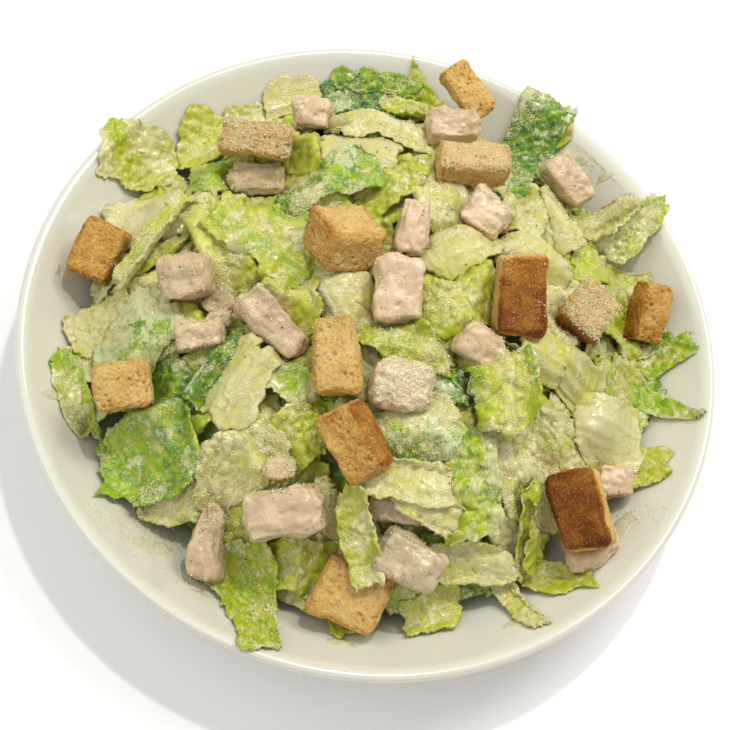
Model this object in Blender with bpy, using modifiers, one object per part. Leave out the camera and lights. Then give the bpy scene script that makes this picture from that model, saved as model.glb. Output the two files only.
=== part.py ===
"""A chicken caesar salad, built together with the shallow bowl that holds it.

Nodes: bowl, lettuce_heap, crouton_01 to crouton_13 and chicken_01 to chicken_22.
The frame's origin is the centre of the foot ring's underside: +Z up, -Y the front.

The bowl is a turned profile. The heap is one solid: a low mound of packed leaves, with the larger cut
pieces of lettuce standing out of it as bent plates, and with a seat cut out under each topping.
"""

import math
from collections import namedtuple

import bmesh
import bpy
import numpy as np
from mathutils import Matrix, Vector, noise

MM = 0.001

# Bowl
RIM_RADIUS = 120.0 * MM
RIM_HEIGHT = 42.0 * MM
LIP_WIDTH = 3.6 * MM
FLOOR_HEIGHT = 6.0 * MM
FLOOR_RADIUS = 60.0 * MM
WALL_POWER = 1.7
WALL_THICKNESS = 3.8 * MM
FOOT_RADIUS = 54.0 * MM
FOOT_WIDTH = 4.0 * MM
FOOT_HEIGHT = 2.4 * MM
TURN_STEPS = 48

# Heap
HEAP_RADIUS = 108.0 * MM
HEAP_TOP = 66.0 * MM
HEAP_EDGE = 30.0 * MM
HEAP_BACK_RISE = 10.0 * MM
HEAP_POWER = 2.6
CORE_RADIUS = 93.0 * MM
CORE_RINGS = 15
CORE_TOP_RINGS = 10
CORE_DROP = 1.5 * MM
LEAF_THICKNESS = 3.0 * MM
LEAF_LEAN = 0.5
FUSE_VOXEL = 1.5 * MM
FACET_SHARE = 0.013

# Room kept between neighbours
GAP = 0.4 * MM
BOWL_GAP = 0.6 * MM

Leaf = namedtuple("Leaf", "x y turn length width nose roll lift bow cup")
Block = namedtuple("Block", "x y z length width height turn lean side taper")

# The larger cut leaves: place, heading, length and width, then how far the nose and the left edge are
# raised in degrees, the lift off the mound, and the bend along and across. Sizes in millimetres.
LEAVES = (
    Leaf(-97, 45, 10, 31, 28, 6, 8, 6, 1, 1),
    Leaf(-86, 24, 30, 29, 22, -4, 4, 3, 1, -1),
    Leaf(-80, 4, -115, 36, 8, -8, 12, 3, 1, 1),
    Leaf(-78, 64, 40, 24, 32, 5, -8, 4, 2, 1),
    Leaf(-56, 5, -52, 33, 16, -10, 14, 3, 2, 2),
    Leaf(-43, 18, 5, 36, 26, 4, -6, 3, 2, 1),
    Leaf(-31, 34, 35, 38, 18, 8, -6, 3, 3, -1),
    Leaf(-54, 88, 30, 22, 14, 12, -10, 4, 1, 1),
    Leaf(-30, 93, 20, 30, 24, 4, -14, 4, 3, 1),
    Leaf(-28, 104, 18, 24, 12, 4, -24, 6, 1, 1),
    Leaf(-6, 101, -35, 30, 24, 14, -10, 5, -3, 3),
    Leaf(-19, 74, 10, 36, 22, -5, 4, 3, 2, 1),
    Leaf(-22, 56, 5, 25, 17, 6, -6, 3, 1, -1),
    Leaf(-37, 50, -5, 24, 14, -6, 8, 2, 1, 1),
    Leaf(-10, 45, 50, 23, 17, 10, 4, 2, 1, 1),
    Leaf(8, 46, 30, 18, 20, -8, 6, 2, 1, 1),
    Leaf(19, 28, 40, 30, 19, 6, -10, 4, 3, -3),
    Leaf(34, 93, -105, 44, 20, -12, 8, 5, 2, 1),
    Leaf(39, 58, -100, 32, 17, 6, -4, 3, 1, 1),
    Leaf(52, 57, -65, 26, 12, -6, 18, 4, 1, 2),
    Leaf(68, 76, 40, 26, 13, 14, 16, 6, -2, 3),
    Leaf(82, 79, 62, 34, 14, 16, 10, 8, 3, 3),
    Leaf(76, 47, 15, 38, 22, 4, -6, 4, 2, 1),
    Leaf(45, 34, 5, 25, 13, -6, 10, 4, 1, -2),
    Leaf(58, 23, -90, 32, 17, 8, -6, 3, 1, 1),
    Leaf(81, 31, 5, 22, 19, -4, 6, 3, 1, 1),
    Leaf(-90, -23, 35, 25, 17, 4, 6, 3, 1, 1),
    Leaf(-89, -47, -60, 30, 12, -6, 12, 3, 1, 1),
    Leaf(-77, -31, 50, 30, 24, 6, -4, 3, 2, 1),
    Leaf(-58, -43, -50, 22, 15, -8, 10, 2, 1, 2),
    Leaf(-43, -35, -110, 32, 11, 6, -14, 3, 2, 2),
    Leaf(-36, -42, -105, 27, 16, -8, 6, 4, 1, -1),
    Leaf(-61, -67, 25, 36, 26, 4, -6, 4, 3, 1),
    Leaf(-31, -63, 40, 28, 17, 6, 6, 3, 1, 1),
    Leaf(-18, -55, 35, 28, 19, -6, 8, 3, 2, 1),
    Leaf(-28, -9, -85, 25, 18, 6, -8, 3, 1, 1),
    Leaf(-13, -4, -45, 24, 17, -6, 8, 3, 2, -2),
    Leaf(10, -16, -5, 25, 11, 4, -16, 2, 1, 2),
    Leaf(24, 8, 35, 26, 20, 6, 6, 3, 1, 1),
    Leaf(22, -42, 30, 29, 19, 6, -8, 4, 2, -2),
    Leaf(62, -3, -5, 31, 15, -4, 8, 4, 1, -1),
    Leaf(48, -22, 10, 33, 20, 6, -6, 3, 1, 1),
    Leaf(102, 30, 40, 20, 12, 8, 6, 4, -1, 1),
    Leaf(108, 12, 15, 26, 12, 4, 6, 5, 1, 1),
    Leaf(89, 7, -80, 26, 14, -4, 6, 3, 1, 1),
    Leaf(87, -12, 15, 24, 19, 4, -8, 4, 3, -2),
    Leaf(96, -17, 15, 27, 13, 6, -6, 3, 2, 1),
    Leaf(69, -24, 20, 26, 22, -4, 6, 3, 1, 1),
    Leaf(-6, -98, 30, 31, 22, 4, -4, 4, 2, 1),
    Leaf(-24, -83, -60, 26, 13, -4, 6, 2, 1, 1),
    Leaf(13, -75, -60, 29, 12, -8, 10, 4, -2, 2),
    Leaf(23, -57, 10, 24, 13, 4, -8, 3, 1, -1),
    Leaf(43, -85, 35, 19, 13, 4, -6, 3, 1, 1),
    Leaf(43, -52, -65, 30, 16, -6, 8, 4, 2, 2),
    Leaf(52, -69, 20, 35, 11, 6, -10, 3, -2, 1),
    Leaf(69, -71, -20, 30, 10, -8, 6, 3, -1, 1),
    Leaf(80, -61, 5, 22, 11, 4, 4, 3, 1, 1),
    Leaf(69, -51, -65, 24, 15, -6, 14, 4, 1, 4),
)

# Toppings: centre, size along, across and up, the turn about the upright axis, the lean towards the
# front, the lean to the right, and the share by which the far end narrows. Sizes in millimetres.
CROUTONS = (
    Block(-58, 49.5, 60, 24.5, 12, 11.5, 8, 22, 0, 0.05),
    Block(8, 99, 54, 21, 11.5, 12, -39, 27, 0, 0.15),
    Block(16, 60, 67, 23.5, 12.5, 12, 16, -8, 0, 0.04),
    Block(-18, 13, 73, 19, 20, 16, -52, -28, 0, 0.05),
    Block(42, 13, 70, 26, 15.5, 14, 107, 27, 10, 0.03),
    Block(67, 18, 63, 15, 17, 13, -23, 12, 0, 0.04),
    Block(92, 41, 37, 21, 11, 11, 99, 27, 15, 0.05),
    Block(-98, 1, 34, 15, 21, 13, -9, 27, 0, 0.10),
    Block(-72, -49, 50, 17.5, 14.5, 15, 25, 27, 0, 0.06),
    Block(-9, -27.5, 71, 24, 13, 12, 106, 27, -12, 0.04),
    Block(4, -52, 67, 22, 15, 14, -55, 35, -20, 0.12),
    Block(16, -89, 35, 22, 21, 12, -7, 24, 0, 0.08),
    Block(81, -44, 46, 25.5, 16, 14, 108, 27, -26, 0.05),
)
CHICKEN = (
    Block(-43, 70, 55, 12.5, 11.5, 11, 10, 20, 0, 0.10),
    Block(6, 80.5, 57, 18, 13, 12, 14, 15, 0, 0.20),
    Block(52, 81, 44, 20, 11.5, 11, -32, 15, 10, 0.15),
    Block(-54, 42, 48, 18, 10, 10, 12, 20, 0, 0.10),
    Block(-64, -10.5, 61, 16.5, 14, 13, 21, 30, -15, 0.05),
    Block(2, 28, 68, 18.5, 10, 11, 96, 27, 0, 0.15),
    Block(25, 43, 65, 15.5, 14, 12, -20, 20, 0, 0.15),
    Block(3.5, 1, 72, 20, 16, 14, 105, 25, 0, 0.10),
    Block(-32, -20, 66, 26, 12.5, 12, -30, 27, 0, 0.25),
    Block(-54, -29, 61, 14.5, 8.5, 9, 25, 27, 0, 0.15),
    Block(-49, -21, 57, 8, 6.5, 6, 30, 20, 0, 0.10),
    Block(35, -7, 66, 16, 12, 9, -20, 27, 0, 0.25),
    Block(13, -30, 68, 18.5, 15, 12, 8, 20, 0, 0.10),
    Block(-11, -76, 53, 25, 16.5, 15, 24, 27, 0, 0.12),
    Block(-32, -86, 33, 24, 13, 11, 98, 24, 0, 0.45),
    Block(31, -78, 48, 21, 14.5, 12, -15, 27, 0, 0.15),
    Block(89, -49, 30, 19, 17, 6, 40, -18, -36, 0.10),
    Block(92, -25, 34, 12, 10, 9, 10, 20, 0, 0.10),
    Block(-16, -63, 55, 8.5, 6, 6, 15, 20, 0, 0.10),
    Block(23, -63, 50, 18, 8.5, 8, 10, 20, 0, 0.10),
    Block(-52, -12, 53, 10, 9, 8, 60, 20, 0, 0.20),
    Block(39, -18.5, 60, 11, 7, 7, 5, 20, 0, 0.10),
)
CROUTON_BEVEL = 1.8 * MM
CROUTON_SKEW = 0.9 * MM
CHUNK_ROUNDNESS = 0.45
CHUNK_LUMP = 1.1 * MM


def inner_height(radius):
    """Height of the bowl's inner surface: a flat floor, then a wall that steepens as a power of the way out."""
    rim_inside = RIM_RADIUS - LIP_WIDTH
    way_out = max(radius - FLOOR_RADIUS, 0.0) / (rim_inside - FLOOR_RADIUS)
    return FLOOR_HEIGHT + (RIM_HEIGHT - 0.6 * MM - FLOOR_HEIGHT) * way_out**WALL_POWER


def mound_height(x, y):
    """Height of the packed leaves: a flat-topped dome whose edge stands higher at the back."""
    radius = math.hypot(x, y)
    edge = HEAP_EDGE + HEAP_BACK_RISE * (y / radius if radius > 0 else 0)
    return edge + (HEAP_TOP - edge) * (1 - (radius / HEAP_RADIUS) ** HEAP_POWER)


def mound_normal(x, y, share):
    """Upward direction square to the mound, with its slope reduced to the given share."""
    step = 0.5 * MM
    slope_x = (mound_height(x + step, y) - mound_height(x - step, y)) / (2 * step)
    slope_y = (mound_height(x, y + step) - mound_height(x, y - step)) / (2 * step)
    return Vector((-slope_x * share, -slope_y * share, 1)).normalized()


def material(name, colour, roughness, coat=0.0):
    made = bpy.data.materials.new(name)
    made.use_nodes = True
    shader = made.node_tree.nodes["Principled BSDF"]
    shader.inputs["Base Color"].default_value = (*colour, 1)
    shader.inputs["Roughness"].default_value = roughness
    shader.inputs["Metallic"].default_value = 0
    shader.inputs["Coat Weight"].default_value = coat
    made.diffuse_color = (*colour, 1)
    return made


def new_object(name, mesh, collection, finish=None):
    made = bpy.data.objects.new(name, mesh)
    collection.objects.link(made)
    if finish:
        mesh.materials.append(finish)
    return made


def as_cutter(made):
    made.hide_render = True
    made.display_type = "WIRE"
    return made


def mesh_from(shape, name):
    mesh = bpy.data.meshes.new(name)
    shape.to_mesh(mesh)
    shape.free()
    return mesh


# ---------------------------------------------------------------- bowl


def bowl_profile():
    """Points from the outer side of the lip, down the outer wall and foot, and back up inside to the lip."""
    rim_inside = RIM_RADIUS - LIP_WIDTH
    points = [(RIM_RADIUS - 0.7 * MM, RIM_HEIGHT), (RIM_RADIUS, RIM_HEIGHT - 1.0 * MM)]
    for radius in np.linspace(RIM_RADIUS - 1.4 * MM, FOOT_RADIUS + 6 * MM, 5):
        wall = inner_height(min(radius, rim_inside)) - WALL_THICKNESS * 1.15
        points.append((radius, max(wall, FOOT_HEIGHT)))
    points += [
        (FOOT_RADIUS + 1.0 * MM, FOOT_HEIGHT),
        (FOOT_RADIUS, 0.0),
        (FOOT_RADIUS - FOOT_WIDTH, 0.0),
        (FOOT_RADIUS - FOOT_WIDTH - 1.0 * MM, FOOT_HEIGHT - 0.4 * MM),
        (0.0, FOOT_HEIGHT - 0.4 * MM),
        (0.0, FLOOR_HEIGHT),
        (FLOOR_RADIUS, FLOOR_HEIGHT),
    ]
    for radius in np.linspace(FLOOR_RADIUS, rim_inside, 7)[1:]:
        points.append((radius, inner_height(radius)))
    points.append((rim_inside + 0.9 * MM, RIM_HEIGHT))
    return points


def turned(name, profile, collection, finish=None):
    """The closed profile turned about the upright axis."""
    shape = bmesh.new()
    corners = [shape.verts.new((radius, 0, height)) for radius, height in profile]
    for first, second in zip(corners, corners[1:] + corners[:1]):
        if first.co.x > 0 or second.co.x > 0:
            shape.edges.new((first, second))
    made = new_object(name, mesh_from(shape, name), collection, finish)
    screw = made.modifiers.new("turn", "SCREW")
    screw.steps = TURN_STEPS
    screw.render_steps = TURN_STEPS
    screw.use_merge_vertices = True
    screw.merge_threshold = 0.00001
    screw.use_smooth_shade = True
    return made


def bowl_clearance(collection):
    """A ring as thick as the wall and more, whose inner side stands a gap inside the bowl's inner surface."""
    rim_inside = RIM_RADIUS - LIP_WIDTH
    inside = [(radius, inner_height(radius) + BOWL_GAP) for radius in np.linspace(40 * MM, rim_inside, 9)]
    lip = [(rim_inside + 0.3 * MM, RIM_HEIGHT + BOWL_GAP), (RIM_RADIUS + 1 * MM, RIM_HEIGHT + BOWL_GAP)]
    below = [(RIM_RADIUS + 20 * MM, RIM_HEIGHT - 6 * MM), (RIM_RADIUS + 20 * MM, -20 * MM), (40 * MM, -20 * MM)]
    ring = list(reversed(below)) + list(reversed(lip)) + list(reversed(inside))
    made = turned("bowl_clearance", ring[::-1], collection)
    return as_cutter(made)


# ---------------------------------------------------------------- toppings


def topping_matrix(block):
    centre = Matrix.Translation(Vector((block.x, block.y, block.z)) * MM)
    side = Matrix.Rotation(math.radians(block.side), 4, "Y")
    lean = Matrix.Rotation(math.radians(block.lean), 4, "X")
    turn = Matrix.Rotation(math.radians(block.turn), 4, "Z")
    return centre @ side @ lean @ turn


def narrowed(point, block):
    """The point with its width and height reduced in proportion to how far it is along the block."""
    along = point.x / (block.length * MM) + 0.5
    shrink = 1 - block.taper * along
    return Vector((point.x, point.y * shrink, point.z * shrink))


def crouton_mesh(block, seed):
    """A cube of bread: each corner moved a little, edges rounded, one end a little narrower."""
    chance = np.random.default_rng(seed)
    shape = bmesh.new()
    bmesh.ops.create_cube(shape, size=1)
    for corner in shape.verts:
        size = Vector((block.length, block.width, block.height)) * MM
        place = Vector(a * b for a, b in zip(corner.co, size))
        corner.co = narrowed(place, block) + Vector(chance.uniform(-1, 1, 3)) * CROUTON_SKEW
    bmesh.ops.bevel(
        shape, geom=shape.edges[:], offset=CROUTON_BEVEL, segments=2, profile=0.55, affect="EDGES", clamp_overlap=True
    )
    return shape


def chunk_mesh(block, seed):
    """A piece of diced chicken: a cube drawn part of the way to a ball, with lumps from a smooth noise."""
    shape = bmesh.new()
    bmesh.ops.create_cube(shape, size=2)
    cuts = 2 if block.length > 12 else 1
    bmesh.ops.subdivide_edges(shape, edges=shape.edges[:], cuts=cuts, use_grid_fill=True)
    for corner in shape.verts:
        ball = corner.co.normalized() * 1.18
        soft = corner.co.lerp(ball, CHUNK_ROUNDNESS)
        place = Vector((soft.x * block.length, soft.y * block.width, soft.z * block.height)) * (MM / 2)
        lump = noise.noise(soft * 1.3 + Vector((7.0 * seed, 3.0 * seed, 0))) * CHUNK_LUMP * 2
        corner.co = narrowed(place, block) + ball * lump
    return shape


def add_topping(name, shape, block, collection, finish, cutters):
    """The topping where it lies, raised clear of the bowl, and a copy swollen by the gap, which cuts its seat."""
    shape.transform(topping_matrix(block))
    lowest = min(v.co.z - inner_height(math.hypot(v.co.x, v.co.y)) for v in shape.verts)
    if lowest < BOWL_GAP:
        bmesh.ops.translate(shape, verts=shape.verts[:], vec=(0, 0, BOWL_GAP - lowest))
    bmesh.ops.triangulate(shape, faces=shape.faces[:])
    shape.normal_update()
    mesh = bpy.data.meshes.new(name)
    shape.to_mesh(mesh)
    mesh.shade_smooth()
    mesh.set_sharp_from_angle(angle=math.radians(50))
    new_object(name, mesh, collection, finish)
    outward = [corner.normal * corner.calc_shell_factor() * GAP for corner in shape.verts]
    for corner, step in zip(shape.verts, outward):
        corner.co += step
    as_cutter(new_object(name + "_seat", mesh_from(shape, name + "_seat"), cutters))


# ---------------------------------------------------------------- lettuce


def leaf_plate(leaf, index, collection):
    """A cut leaf: a grid bent along and across its length and narrowed at its ends, then given thickness."""
    chance = np.random.default_rng(100 + index)
    shape = bmesh.new()
    bmesh.ops.create_grid(shape, x_segments=4, y_segments=3, size=0.5)
    up = mound_normal(leaf.x * MM, leaf.y * MM, LEAF_LEAN)
    heading = Vector((math.cos(math.radians(leaf.turn)), math.sin(math.radians(leaf.turn)), 0))
    along = (heading - up * heading.dot(up)).normalized()
    base = Matrix((along, up.cross(along), up)).transposed().to_4x4()
    nose = Matrix.Rotation(math.radians(-leaf.nose), 4, "Y")
    roll = Matrix.Rotation(math.radians(leaf.roll), 4, "X")
    centre = Vector((leaf.x * MM, leaf.y * MM, mound_height(leaf.x * MM, leaf.y * MM) + leaf.lift * MM - LEAF_THICKNESS))
    place = Matrix.Translation(centre) @ base @ nose @ roll
    for corner in shape.verts:
        u, v = 2 * corner.co.x, 2 * corner.co.y
        narrow = 1 - 0.16 * abs(u) ** 3 + 0.10 * chance.uniform(-1, 1)
        wave = 0.7 * MM * chance.uniform(-1, 1)
        height = -leaf.bow * MM * u * u + leaf.cup * MM * v * v + wave
        flat = Vector((u * leaf.length / 2 * MM, v * leaf.width / 2 * MM * narrow, height))
        corner.co = place @ flat
    made = new_object(f"leaf_{index:02d}", mesh_from(shape, f"leaf_{index:02d}"), collection)
    solid = made.modifiers.new("thickness", "SOLIDIFY")
    solid.thickness = LEAF_THICKNESS
    solid.offset = 0
    return as_cutter(made)


def mound_core(collection):
    """The packed middle of the heap: a globe whose upper rings become the mound's top and lower rings its base."""
    shape = bmesh.new()
    bmesh.ops.create_uvsphere(shape, u_segments=TURN_STEPS, v_segments=CORE_RINGS, radius=1)
    for corner in shape.verts:
        ring = round(math.acos(max(-1, min(1, corner.co.z))) / math.pi * CORE_RINGS)
        angle = math.atan2(corner.co.y, corner.co.x)
        edge = CORE_RADIUS + 3 * MM * math.sin(3 * angle + 0.8) + 2 * MM * math.sin(5 * angle)
        on_top = ring <= CORE_TOP_RINGS
        share = ring / CORE_TOP_RINGS if on_top else (CORE_RINGS - ring) / (CORE_RINGS - CORE_TOP_RINGS)
        radius = edge * share
        x, y = radius * math.cos(angle), radius * math.sin(angle)
        if on_top:
            rough = 2.2 * MM * noise.noise(Vector((x, y, 0)) / (14 * MM))
            slump = 6 * MM * share**6
            height = mound_height(x, y) - CORE_DROP + rough - slump
        else:
            height = inner_height(radius) + BOWL_GAP
        corner.co = (x, y, height)
    bmesh.ops.recalc_face_normals(shape, faces=shape.faces[:])
    return as_cutter(new_object("mound_core", mesh_from(shape, "mound_core"), collection))


def largest_body(mesh):
    """The mesh with every shell removed but the one that has the most faces, walking from face to face."""
    shape = bmesh.new()
    shape.from_mesh(mesh)
    unseen = set(shape.faces)
    shells = []
    while unseen:
        front = [unseen.pop()]
        shell = set(front)
        while front:
            near = {face for edge in front.pop().edges for face in edge.link_faces} & unseen
            unseen -= near
            shell |= near
            front += near
        shells.append(shell)
    shells.sort(key=len)
    loose = [face for shell in shells[:-1] for face in shell]
    bmesh.ops.delete(shape, geom=loose, context="FACES")
    shape.to_mesh(mesh)
    shape.free()


def boolean(made, operation, collection):
    step = made.modifiers.new(operation.lower(), "BOOLEAN")
    step.operation = operation
    step.solver = "EXACT"
    step.operand_type = "COLLECTION"
    step.collection = collection


def lettuce_heap(collection, cutters, leaves, seats, finish):
    core = mound_core(cutters)
    boolean(core, "UNION", leaves)
    fuse = core.modifiers.new("fuse", "REMESH")
    fuse.mode = "VOXEL"
    fuse.voxel_size = FUSE_VOXEL
    facets = core.modifiers.new("facets", "DECIMATE")
    facets.ratio = FACET_SHARE
    facets.use_collapse_triangulate = True
    boolean(core, "DIFFERENCE", seats)
    bpy.context.view_layer.update()
    graph = bpy.context.evaluated_depsgraph_get()
    mesh = bpy.data.meshes.new_from_object(core.evaluated_get(graph))
    mesh.name = "lettuce_heap"
    largest_body(mesh)
    mesh.materials.clear()
    mesh.shade_flat()
    new_object("lettuce_heap", mesh, collection, finish)
    bpy.data.objects.remove(core)


def new_collection(name, parent=None):
    made = bpy.data.collections.new(name)
    (parent or bpy.context.scene.collection).children.link(made)
    return made


def main():
    for old in list(bpy.data.objects):
        bpy.data.objects.remove(old)
    parts = new_collection("chicken_caesar_salad")
    cutters = new_collection("cutters")
    leaves = new_collection("leaf_plates", cutters)
    seats = new_collection("seats", cutters)

    glaze = material("glazed_ceramic", (0.80, 0.79, 0.74), 0.18, coat=0.4)
    greens = material("lettuce", (0.52, 0.58, 0.22), 0.45)
    bread = material("crouton", (0.60, 0.36, 0.14), 0.85)
    meat = material("chicken", (0.74, 0.58, 0.46), 0.5)

    turned("bowl", bowl_profile(), parts, glaze)
    bowl_clearance(seats)
    for number, block in enumerate(CROUTONS, 1):
        add_topping(f"crouton_{number:02d}", crouton_mesh(block, number), block, parts, bread, seats)
    for number, block in enumerate(CHICKEN, 1):
        add_topping(f"chicken_{number:02d}", chunk_mesh(block, number), block, parts, meat, seats)
    for number, leaf in enumerate(LEAVES, 1):
        leaf_plate(leaf, number, leaves)
    lettuce_heap(parts, cutters, leaves, seats, greens)


main()
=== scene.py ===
"""Chicken caesar salad in its wide shallow bowl: romaine, croutons, diced chicken, dressing and cheese.

Lengths are in metres, +Z up, and the origin is the centre of the foot ring's underside.
Every leaf is one closed surface over a grid of two parameters; bread and meat start from their solids.
"""

import math
from collections import namedtuple

import bpy
import numpy as np
from mathutils import Matrix, Vector


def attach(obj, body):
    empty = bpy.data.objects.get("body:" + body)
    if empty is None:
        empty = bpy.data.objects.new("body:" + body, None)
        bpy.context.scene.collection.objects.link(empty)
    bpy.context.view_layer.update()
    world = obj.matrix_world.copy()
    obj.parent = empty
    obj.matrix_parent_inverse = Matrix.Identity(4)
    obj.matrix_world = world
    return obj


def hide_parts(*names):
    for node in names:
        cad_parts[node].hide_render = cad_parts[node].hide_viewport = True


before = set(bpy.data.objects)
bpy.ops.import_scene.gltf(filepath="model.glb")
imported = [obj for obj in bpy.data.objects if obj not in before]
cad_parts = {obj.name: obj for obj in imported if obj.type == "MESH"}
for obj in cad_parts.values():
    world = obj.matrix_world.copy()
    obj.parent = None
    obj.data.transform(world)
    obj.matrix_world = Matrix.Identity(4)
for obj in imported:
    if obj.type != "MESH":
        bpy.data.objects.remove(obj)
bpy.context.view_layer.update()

MM = 0.001
ROW = "root"

# Bowl: the same section as its solid
RIM_RADIUS = 120.0 * MM
RIM_HEIGHT = 42.0 * MM
LIP_WIDTH = 3.6 * MM
RIM_INSIDE = RIM_RADIUS - LIP_WIDTH
FLOOR_HEIGHT = 6.0 * MM
FLOOR_RADIUS = 60.0 * MM
WALL_POWER = 1.7
WALL_THICKNESS = 3.8 * MM
FOOT_RADIUS = 54.0 * MM
FOOT_WIDTH = 4.0 * MM
FOOT_HEIGHT = 2.4 * MM
TURN_STEPS = 288

# Heap: the same dome as its solid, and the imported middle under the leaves
HEAP_RADIUS = 108.0 * MM
HEAP_TOP = 66.0 * MM
HEAP_EDGE = 30.0 * MM
HEAP_BACK_RISE = 10.0 * MM
HEAP_POWER = 2.6
CORE_RADIUS = 88.0 * MM
CORE_STEPS = 110

# Leaves: how far they follow the dome's slope, and what multiplies the tilts, bends and sizes of their rows
LEAF_LEAN = 0.5
TILT_GAIN = 1.5
CURL_GAIN = 1.25
LEAF_GROWTH = 1.10
FOLD_RADIUS = 2.2 * MM
EDGE_CURL = 3.4 * MM
LEAST_CURVE = 1e-6

# Leaves that reach past the first radius sink towards the wall, most of the way at the second
DRAPE_FROM = 78.0 * MM
DRAPE_TO = 106.0 * MM
DRAPE_SHARE = 0.9

# Map of the lowest height of the toppings, which leaves stay under, and of the leaves already laid
BED_CELL = 0.5 * MM
BED_HALF = 125.0 * MM
BED_SLOPE = 1.1
BED_STEPS = 26
LAY_STEPS = 18
UNDER_ROOM = 0.9 * MM
NOTHING_ABOVE = 1.0

# Toppings
CROUTONS = 13
CHUNKS = 22


# ---------------------------------------------------------------- numbers on grids

HASH_PRIMES = np.array([374761393, 668265263, 1440662683])
HASH_MIXER = 1274126177


def hashed(cells, seed):
    """A repeatable value from 0 to 1 for each row of whole numbers."""
    mixed = (cells * HASH_PRIMES[: cells.shape[-1]]).sum(-1) + seed * HASH_MIXER
    mixed = ((mixed ^ (mixed >> 13)) * HASH_MIXER) & 0x7FFFFFFF
    return ((mixed ^ (mixed >> 15)) & 0xFFFFF) / 0xFFFFF


def noise(points, size, seed=0):
    """Smooth noise from -1 to 1: a value at each corner of a lattice of that size, blended by 3t^2 - 2t^3."""
    scaled = np.asarray(points) / size
    low = np.floor(scaled).astype(np.int64)
    part = scaled - low
    part = part * part * (3 - 2 * part)
    total = 0
    for corner in np.ndindex(*(2,) * scaled.shape[-1]):
        share = np.prod(np.where(corner, part, 1 - part), axis=-1)
        total = total + share * hashed(low + np.array(corner), seed)
    return 2 * total - 1


def rough(points, size, seed=0, octaves=3):
    """Noise with finer noise on it: each octave is half the size and half the height of the one before."""
    total = 0
    for octave in range(octaves):
        total = total + noise(points, size / 2**octave, seed + octave) / 2**octave
    return total


def spots(points, size, seed=0):
    """Distance to the nearest and second nearest of one chance point in each cell, in units of the cell."""
    scaled = np.asarray(points) / size
    low = np.floor(scaled).astype(np.int64)
    first = np.full(scaled.shape[:-1], 9.0)
    second = first.copy()
    for step in np.ndindex(*(3,) * scaled.shape[-1]):
        cell = low + np.array(step) - 1
        place = cell + np.stack([hashed(cell, seed + 11 * axis) for axis in range(scaled.shape[-1])], -1)
        far = np.sqrt(((scaled - place) ** 2).sum(-1))
        second = np.minimum(second, np.maximum(first, far))
        first = np.minimum(first, far)
    return first, second


def smooth(low, high, value):
    """0 below low, 1 above high, and 3t^2 - 2t^3 between."""
    t = np.clip((value - low) / (high - low), 0, 1)
    return t * t * (3 - 2 * t)


def inner_height(radius):
    """Height of the bowl's inner surface: flat, then rising with a power of the way out."""
    way_out = np.maximum(radius - FLOOR_RADIUS, 0) / (RIM_INSIDE - FLOOR_RADIUS)
    return FLOOR_HEIGHT + (RIM_HEIGHT - 0.6 * MM - FLOOR_HEIGHT) * way_out**WALL_POWER


def mound_height(x, y):
    """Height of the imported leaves: a flat-topped dome whose edge stands higher at the back."""
    radius = np.hypot(x, y)
    edge = HEAP_EDGE + HEAP_BACK_RISE * y / np.maximum(radius, 1e-9)
    return edge + (HEAP_TOP - edge) * (1 - (radius / HEAP_RADIUS) ** HEAP_POWER)


# ---------------------------------------------------------------- meshes


def put_mesh(name, points, faces, finish, colours=None, shade=True):
    """An object at the origin from points, faces of one corner count, and a colour for each point."""
    mesh = bpy.data.meshes.new(name)
    corners = faces.shape[1]
    mesh.vertices.add(len(points))
    mesh.vertices.foreach_set("co", points.astype(np.float32).ravel())
    mesh.loops.add(faces.size)
    mesh.loops.foreach_set("vertex_index", faces.astype(np.int32).ravel())
    mesh.polygons.add(len(faces))
    mesh.polygons.foreach_set("loop_start", np.arange(0, faces.size, corners, dtype=np.int32))
    mesh.polygons.foreach_set("use_smooth", np.full(len(faces), shade))
    mesh.update(calc_edges=True)
    mesh.validate()
    if colours is not None:
        layer = mesh.color_attributes.new("parts", "FLOAT_COLOR", "POINT")
        solid = np.concatenate([colours, np.ones((len(colours), 1))], axis=1)
        layer.data.foreach_set("color", solid.astype(np.float32).ravel())
    mesh.materials.append(finish)
    made = bpy.data.objects.new(name, mesh)
    bpy.context.scene.collection.objects.link(made)
    return made


def joined(parts):
    """Several (points, faces, colours) as one."""
    starts = np.cumsum([0] + [len(points) for points, _, _ in parts[:-1]])
    points = np.concatenate([part[0] for part in parts])
    faces = np.concatenate([part[1] + start for part, start in zip(parts, starts)])
    colours = np.concatenate([part[2] for part in parts])
    return points, faces, colours


def normals_of(grid):
    """Unit normals of a grid of points: the cross product of its two directions of travel."""
    along = np.gradient(grid, axis=0)
    across = np.gradient(grid, axis=1)
    normal = np.cross(along, across)
    return normal / np.maximum(np.linalg.norm(normal, axis=-1, keepdims=True), 1e-12)


def plate_faces(rows, columns):
    """Quads of a closed plate: an upper grid, a lower one turned over, and a strip round the edge."""
    index = np.arange(rows * columns).reshape(rows, columns)
    upper = np.stack([index[:-1, :-1], index[1:, :-1], index[1:, 1:], index[:-1, 1:]], -1).reshape(-1, 4)
    lower = upper[:, ::-1] + rows * columns
    ring = np.concatenate([index[:-1, 0], index[-1, :-1], index[:0:-1, -1], index[0, :0:-1]])
    after = np.roll(ring, -1)
    side = np.stack([ring, ring + rows * columns, after + rows * columns, after], -1)
    return np.concatenate([upper, lower, side])


# ---------------------------------------------------------------- finishes

# Numbers of the Mix node's colour sockets, which share their names with its number and vector sockets
MIX_FIRST_COLOUR = 6
MIX_SECOND_COLOUR = 7
MIX_COLOUR_RESULT = 2


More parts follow.
